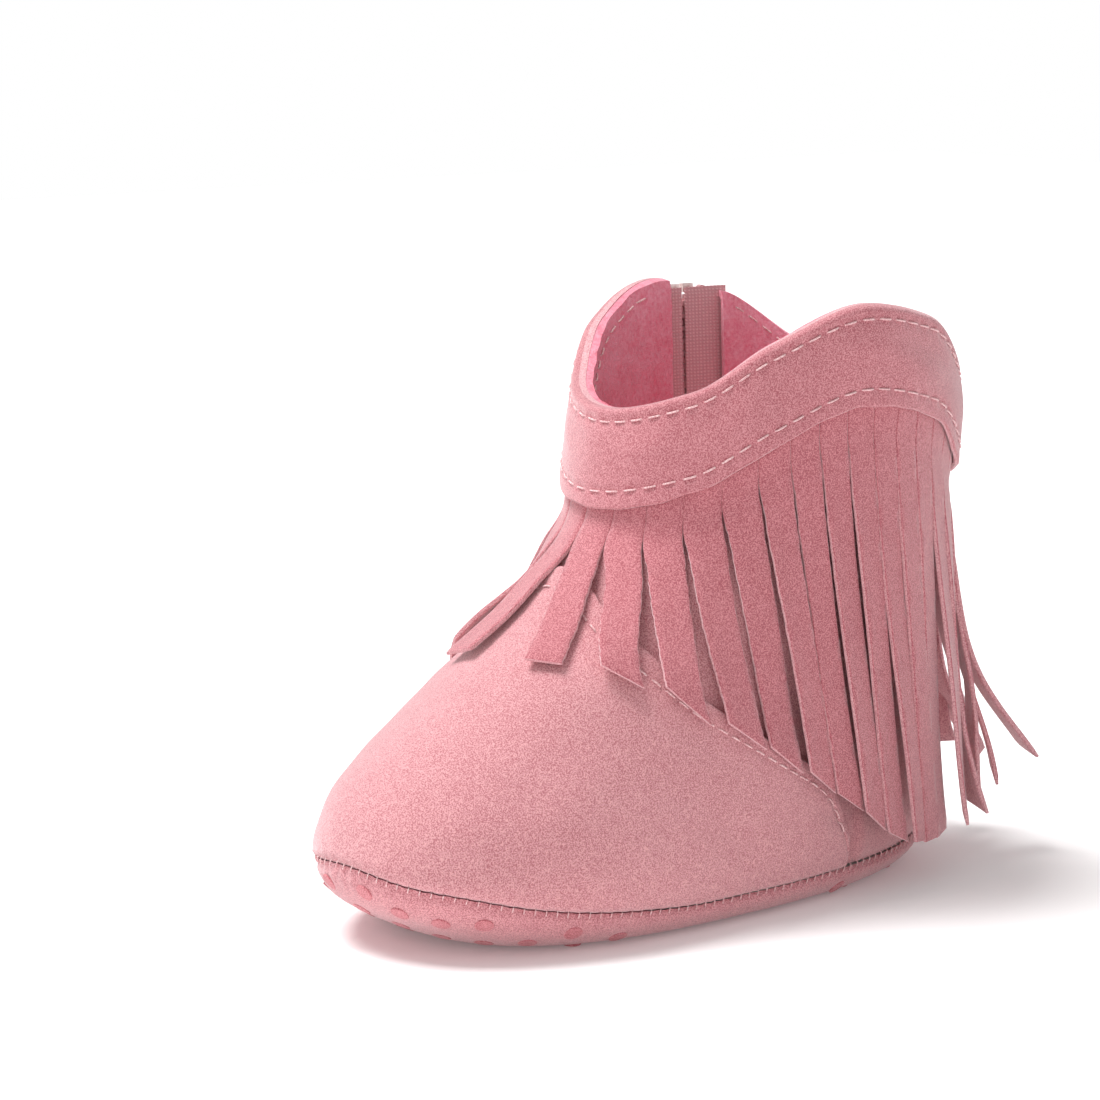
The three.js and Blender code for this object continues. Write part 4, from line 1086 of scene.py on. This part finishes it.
def stand_off(root, out, side, width, top, bottom, drift, follows):
    """How far a hanging strip stands out from its root at each level, and its tilt to lie on the upper."""
    shares = np.linspace(0, 1, STRIP_LEVELS)
    z = top + (bottom - top) * shares
    hung = root[:2] + np.outer(drift * shares ** DRIFT_BEND, side[:2])
    reaches = []
    for place in (-0.5, 0, 0.5):
        start = hung + side[:2] * place * width
        low, high = np.full(STRIP_LEVELS, -15.0), np.full(STRIP_LEVELS, 90.0)
        for _ in range(24):
            s = (low + high) / 2
            x, y = start[:, 0] + s * out[0], start[:, 1] + s * out[1]
            within = np.hypot(x, y - AXIS_Y) < reach(np.arctan2(x, AXIS_Y - y), z)
            low, high = np.where(within, s, low), np.where(within, high, s)
        reaches.append(low)
    one_edge, middle, other_edge = reaches
    needed = np.maximum(middle, (one_edge + other_edge) / 2)
    under = hung + needed[:, None] * out[:2]
    under_phi = np.arctan2(under[:, 0], AXIS_Y - under[:, 1])
    lean = facing(under_phi, z) @ out
    over_vamp = smooth((vamp_edge(under_phi) + 6 - z) / 7)
    clear = needed + (0.35 * smooth((top - z) / 5) + 1.25 * over_vamp) / np.maximum(lean, 0.5)
    tilt = np.arctan((other_edge - one_edge) / width) * smooth((top - z) / 6) * follows
    return z, np.maximum.accumulate(clear), tilt


for k in range(STRIP_COUNT):
    name = f"fringe_strip_{k + 1:02d}"
    left, phi, right = np.interp([k, k + 0.5, k + 1], root_places, root_angles)
    width = np.diff(np.interp([k, k + 1], root_places, root_lengths))[0] - SLIT
    top = float(slit_root(phi)) - ROOT_DROP
    out = facing(np.array(phi), np.array(top))
    root = on_form(phi, np.array(top)) + out * LAYER_GAP
    out = np.array([out[0], out[1], 0]) / math.hypot(out[0], out[1])
    side = np.array([-out[1], out[0], 0])
    end_left, end_right = float(strip_end(left)), float(strip_end(right))
    bottom = min(end_left, end_right)
    drift = float(drift_back(phi - PARTING)) * math.copysign(1, math.sin(phi - PARTING))
    follows = float(1 - 0.3 * smooth((abs(turned(phi)) - math.radians(30)) / math.radians(30)))
    levels, stands, tilts = stand_off(root, out, side, width, top, bottom, drift, follows)
    spread_out = float(flare(phi))
    from_toe = abs(float(turned(phi)))
    toe_side = -1 if math.sin(phi) > 0 else 1
    behind = float(smooth((from_toe - math.radians(112)) / math.radians(40)))
    fore = float(smooth((math.radians(50) - from_toe) / math.radians(30)))

    # Above the slits the strip is still part of the sheet, which lies on the upper.
    above = np.linspace(float(collar_edge(phi)) + 2.3, top, 7)[:-1]
    share = np.concatenate((np.zeros(len(above)), np.linspace(0, 1, STRIP_ROWS - len(above) + 1)))
    u = across_share[:, None]
    v = share[None]
    edge_phi = left + (right - left) * u
    end_z = end_left + (end_right - end_left) * u
    top_z = slit_root(edge_phi) - ROOT_DROP
    hang_z = top_z + (end_z - top_z) * v
    head_z = np.concatenate((above, np.full(len(share) - len(above), top)))[None] + (top_z - top)
    z = np.where(v > 0, hang_z, head_z)

    hung_share = np.clip((top - z) / (top - bottom), 0, 1)
    stand = np.interp(-z, -levels, stands) + spread_out * hung_share ** 1.5
    wave_a, wave_b = draw.uniform(0, ROUND, 2)
    lively = 0.35 + 0.5 * (1 - fore) + 1.6 * behind
    wave = lively * (np.sin(v * (5.5 + 2 * behind) + wave_a) - math.sin(wave_a)) * v * 0.55
    flick = behind * draw.uniform(-1.5, 5.0) * v ** 3
    curl = 0.25 * spread_out * draw.uniform(-0.4, 0.9) * v ** 2
    lifted = np.maximum(wave + curl + flick + 0.45 * v, -0.35)
    sway = draw.normal(0, 0.25 + 1.3 * behind) * v ** 1.6 + 0.25 * lively * np.sin(v * 6 + wave_b) * v
    sway = sway + drift * hung_share ** DRIFT_BEND
    louvre = math.radians(draw.uniform(4, 9)) * smooth(v * 3) * toe_side * (1 - 0.4 * fore)
    turn = louvre + math.radians(draw.normal(0, 4 + 26 * behind)) * v ** 2 + np.interp(-z, -levels, tilts)
    cup = draw.uniform(-0.012, 0.02) * smooth(v * 2)
    s = (u - 0.5) * width
    edge_wobble = 0.07 * np.sin(v * 95 + draw.uniform(0, 6)) + 0.05 * np.sin(v * 210 + draw.uniform(0, 6))
    s = s + np.where(u < 0.02, edge_wobble, np.where(u > 0.98, -edge_wobble, 0)) * (v > 0.03)
    centre = root + side * sway[..., None] + out * (stand + lifted)[..., None] - (0, 0, root[2])
    flat = centre + side * (s * np.cos(turn))[..., None] + out * (s * np.sin(turn) + cup * s * s)[..., None]
    flat[..., 2] = z + 0.35 * (lifted * v)
    laid = at(edge_phi + 0 * z, z, LAYER_GAP)
    hanging = np.where(v > 0, smooth((top_z - z) / 7), 0)[..., None]
    back = laid * (1 - hanging) + flat * hanging
    along = np.gradient(back, axis=1)
    over = np.gradient(back, axis=0)
    normal = np.cross(along, over)
    normal /= np.linalg.norm(normal, axis=-1, keepdims=True)
    normal *= np.sign((normal * out).sum(-1, keepdims=True).mean())
    strip_worn = rounded(len(across_share) - 1, STRIP_ROWS, FRINGE, 0.22)[..., None]
    outer, inner = back + normal * (FRINGE - strip_worn), back + normal * strip_worn
    strip = cloth(f"{name}_suede", outer[:, ::-1], inner[:, ::-1], fringe_stack)
    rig.replaces(strip, name)
    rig.slot(strip, "fringe_suede")
    pivot = np.array(hinge_of[name]["pos_m"])
    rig.blend(strip, "bootie", name, start=tuple(pivot + (0, 0, 0.001)), end=tuple(pivot - (0, 0, 0.005)))
    strips.append(strip)
header_cut = cut_size(header_outer)
header_cut["flat"] = (header_cut["flat"][0], (COLLAR_HOLD + FRONT_HEAD) / 1000)
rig.sheet(header, held="hung", rests_on=["collar_band_suede"], with_pieces=strips, **header_cut)


# Collar: a wavy band of suede over the fringe's sewn edge, turned over the rim at the top and left
# raw at the bottom, with one row of stitches near each edge.
# The collar takes the upper's suede in darker colours: painted shade, for the shade that the collar sits in on the
# side.
collar_suede = suede("collar_suede", (0.42, 0.115, 0.14), (0.7, 0.31, 0.335))
TOP_STITCH_DROP = 2.5
BOTTOM_STITCH_RISE = 3
STITCH_STEP = 3.3
MIDDLE_DROP = 9
COLLAR_FACE = 2.35
PUCKER = 0.34
PUCKER_WIDTH = 0.85
COLLAR_COLUMNS, COLLAR_ROWS = 560, 60

row_phi = np.linspace(ZIP + 0.2, ZIP + ROUND - 0.2, 721)
row_line = on_form(row_phi, rim(row_phi) - MIDDLE_DROP)
ring_stitches = int(np.linalg.norm(np.diff(row_line, axis=0), axis=1).sum() / STITCH_STEP)
ring_turns = np.linspace(0, ROUND, 721)
ring_lengths = lengths_along(on_form(ZIP + ring_turns, rim(ZIP + ring_turns) - MIDDLE_DROP))
ring_shares = ring_lengths / ring_lengths[-1]


def along_ring(phi):
    """Place along the ring in stitches, from the zip's front side round to its back side."""
    return np.interp(np.mod(phi - ZIP, ROUND), ring_turns, ring_shares) * ring_stitches


def collar_face(phi, z):
    """Distance of the band's face from the form."""
    turn_in = 0.75 * smooth((z - rim(phi)) / (COLLAR_DEPTH - COLLAR_HOLD) + 1)
    puckers = 0.7 + 0.3 * np.cos(ROUND * along_ring(phi))
    pulled = PUCKER * np.exp(-((z - rim(phi) + TOP_STITCH_DROP) / PUCKER_WIDTH) ** 2)
    pulled = pulled + PUCKER * np.exp(-((z - collar_edge(phi) - BOTTOM_STITCH_RISE) / PUCKER_WIDTH) ** 2)
    plump = 0.28 * np.exp(-((z - rim(phi) + 6.5) / 3.2) ** 2) * dents(on_form(phi, z), 14, 31)
    return COLLAR_FACE - turn_in - pulled * puckers + plump


collar_share = rows_between(COLLAR_ROWS, COLLAR_DEPTH)[None]
collar_phi, collar_z = ring_places(
    COLLAR_OPENING, COLLAR_COLUMNS, lambda phi: collar_edge(phi) + COLLAR_DEPTH * collar_share
)
lower_wave = 0.16 * dents(on_form(collar_phi, collar_z), 7, 33) * smooth(1 - collar_share * 4)
collar_outer_d = collar_face(collar_phi, collar_z)
crest = np.clip((collar_z - rim(collar_phi) + 1.15) / 1.15, 0, 1)
collar_outer_d = collar_outer_d - 1.5 * (1 - np.sqrt(1 - 0.98 * crest ** 2))
collar_worn = rounded(COLLAR_COLUMNS, COLLAR_ROWS, SUEDE)
collar_worn[:, -1] = 0
thick = SUEDE + 0.9 * smooth((collar_z - rim(collar_phi) + 8.5) / 2.5)
collar_inner_d = np.minimum(COLLAR_FACE - thick, collar_outer_d - 0.4)
over_rim = smooth((collar_z - rim(collar_phi) + 0.95) / 0.25)
collar_inner_d = collar_inner_d * (1 - over_rim) - 0.9 * over_rim
collar_outer = at(collar_phi, collar_z + lower_wave, collar_outer_d - collar_worn)
collar_inner = at(collar_phi, collar_z + lower_wave, collar_inner_d + collar_worn)
collar = cloth("collar_band_suede", collar_outer, collar_inner, [collar_suede, cut_edge, suede_back])
stand_in(collar, "collar_band", "upper_suede")
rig.sheet(collar, held="stretched", rests_on=["fringe_header_suede"], **cut_size(collar_outer))


def stitch_row(count, where, first=0.0, last=1.0, length=0.78):
    """Rows of points of the stitches: where(share, lift) gives a point along the row."""
    paths = []
    for k in range(count):
        begin, finish = (k + 0.5 - length / 2) / count, (k + 0.5 + length / 2) / count
        t = np.linspace(-1, 1, 7)
        share = first + (last - first) * (begin + (finish - begin) * (t + 1) / 2)
        paths.append(where(share, 0.24 * (1 - t ** 4) - 0.42 * (np.abs(t) > 0.9)))
    return paths


def ring_stitch(height):
    def where(share, lift):
        phi = ZIP + np.interp(share, ring_shares, ring_turns)
        z = height(phi)
        return at(phi, z, collar_face(phi, z) + lift)

    gap = (COLLAR_OPENING + 1.5) / SHAFT_HALF / ROUND
    return stitch_row(ring_stitches - 2, where, gap, 1 - gap)


def sewn(name, node, paths):
    stand_in(threads(name, paths, 0.18, sewing_thread), node, "thread")


def inside_stitch(share, lift):
    phi = ZIP + np.interp(share, ring_shares, ring_turns)
    return at(phi, rim(phi) - TOP_STITCH_DROP, -2.55 - 0.85 * over_tape(phi) - lift)


top_row = ring_stitch(lambda phi: rim(phi) - TOP_STITCH_DROP)
top_row += stitch_row(ring_stitches - 6, inside_stitch, 3 / ring_stitches, 1 - 3 / ring_stitches)
bottom_row = ring_stitch(lambda phi: collar_edge(phi) + BOTTOM_STITCH_RISE)
sewn("collar_top_stitches", "collar_top_stitch", top_row)
sewn("collar_bottom_stitches", "collar_bottom_stitch", bottom_row)

vamp_row = sweep(math.radians(-84), math.radians(84), 400)
vamp_row_lengths = lengths_along(on_form(vamp_row, vamp_edge(vamp_row) - VAMP_STITCH_INSET))


def vamp_place(share, lift):
    phi = np.interp(share * vamp_row_lengths[-1], vamp_row_lengths, vamp_row)
    return at(phi, vamp_edge(phi) - VAMP_STITCH_INSET, OUTSIDE - 0.2 + lift)


sewn("vamp_stitches", "vamp_stitch", stitch_row(int(vamp_row_lengths[-1] / 2.9), vamp_place))


# Zip: a coil of moulded teeth on two woven tapes behind the opening, a pressed slider with a flat
# pull, and a stop at each end. The tapes are stitched down through the quarters.
TAPE = 0.6
TAPE_FACE = -1.45
TAPE_INNER_EDGE = 0.4
TAPE_COLUMNS, TAPE_ROWS = 12, 59
ZIP_TOP = float(rim(ZIP)) - 1.5
weave, weave_in, weave_out = finish_group("tape_weave", Deep=(0.55, 0.25, 0.28, 1), Pale=(0.85, 0.6, 0.6, 1))
weave_place = weave.nodes.new("ShaderNodeTexCoord").outputs["Object"]
crossings = []
for direction, scale in (("Z", 520), ("Y", 420)):
    yarn = weave.nodes.new("ShaderNodeTexWave")
    yarn.bands_direction = direction
    yarn.inputs["Scale"].default_value = scale
    yarn.inputs["Distortion"].default_value = 0.6
    weave.links.new(weave_place, yarn.inputs["Vector"])
    crossings.append(yarn.outputs["Fac"])
woven = combine(weave, "MULTIPLY", crossings[0], crossings[1])
put_out(weave, weave_in, weave_out, woven, spread(weave, woven, 0, 1, 0.9, 0.65), woven)
tape_cloth = material(
    "zip_tape_cloth", weave, {"Deep": (0.62, 0.33, 0.35, 1), "Pale": (0.8, 0.52, 0.53, 1)},
    sheen=0.3, bump=0.5,
)

for name, side in (("front", 1), ("back", -1)):
    tape_z = np.linspace(ZIP_BOTTOM - 2, ZIP_TOP + 0.2, TAPE_ROWS + 1)[None]
    tape_width = TAPE_HALF - TAPE_INNER_EDGE
    tape_x = (TAPE_INNER_EDGE + tape_width * rows_between(TAPE_COLUMNS, tape_width))[:, None]
    phi = ZIP + side * tape_x / reach(np.array(ZIP), tape_z)
    tape_z = tape_z + 0 * phi
    if side < 0:
        phi, tape_z = phi[::-1], tape_z[::-1]
    tape_worn = rounded(TAPE_COLUMNS, TAPE_ROWS, TAPE, 0.3)
    tape_outer = at(phi, tape_z, TAPE_FACE - tape_worn)
    tape_inner = at(phi, tape_z, TAPE_FACE - TAPE + tape_worn)
    tape = cloth(f"zip_tape_{name}_cloth", tape_outer, tape_inner, [tape_cloth] * 3)
    stand_in(tape, f"zipper_tape_{name}", "zip_tape")
    across, down = cut_size(tape_outer)["flat"]
    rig.sheet(tape, flat=(max(across, 0.01), down), held="stretched", rests_on=["shaft_lining_fleece"])

    stitch_low, stitch_high = ZIP_BOTTOM + 2, float(slit_root(np.array(ZIP))) - 2

    def zip_place(share, lift, side=side, low=stitch_low, high=stitch_high):
        z = low + (high - low) * share
        return at(ZIP + side * (ZIP_OPENING + 2) / reach(np.array(ZIP), z), z, QUARTER_FACE + lift)

    sewn(f"zip_stitches_{name}", f"zipper_stitch_{name}", stitch_row(13, zip_place))

wear, wear_in, wear_out = finish_group(
    "handled_finish", Colour=(0.7, 0.4, 0.4, 1), Worn=(0.8, 0.6, 0.6, 1), Gloss=0.35
)
scuffs = noise(wear, 700, 4, 0.65)
edges = wear.nodes.new("ShaderNodeNewGeometry").outputs["Pointiness"]
rubbed = combine(wear, "MULTIPLY", spread(wear, edges, 0.5, 0.62), spread(wear, scuffs, 0.35, 0.6))
polish = combine(wear, "ADD", wear_in["Gloss"], spread(wear, scuffs, 0.3, 0.7, -0.06, 0.12))
put_out(wear, wear_in, wear_out, rubbed, polish, scuffs, "Colour", "Worn")
zip_finishes = {
    "zip_paint": (
        ("zipper_slider", "zipper_pull"), (0.62, 0.3, 0.32, 1), (0.85, 0.7, 0.68, 1), 0.3, 0.75,
    ),
    "zip_coil_nylon": (
        ("zipper_teeth_front", "zipper_teeth_back"), (0.7, 0.34, 0.37, 1), (0.85, 0.55, 0.56, 1), 0.4, 0,
    ),
    "zip_stop_metal": (
        ("zipper_top_stop_front", "zipper_top_stop_back", "zipper_bottom_stop"),
        (0.6, 0.4, 0.38, 1), (0.85, 0.72, 0.7, 1), 0.32, 1,
    ),
}
for finish, (nodes, colour, worn_colour, gloss, metallic) in zip_finishes.items():
    made = material(
        finish, wear, {"Colour": colour, "Worn": worn_colour, "Gloss": gloss}, bump=0.06,
        Metallic=metallic, Specular_IOR_Level=0.5,
    )
    for node in nodes:
        frame["nodes"][node].data.materials.clear()
        frame["nodes"][node].data.materials.append(made)

with open("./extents.json", "w") as size_file:
    json.dump({"cad": [list(p) for p in cad_box], "visual": [list(p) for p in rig.bounds()]}, size_file)
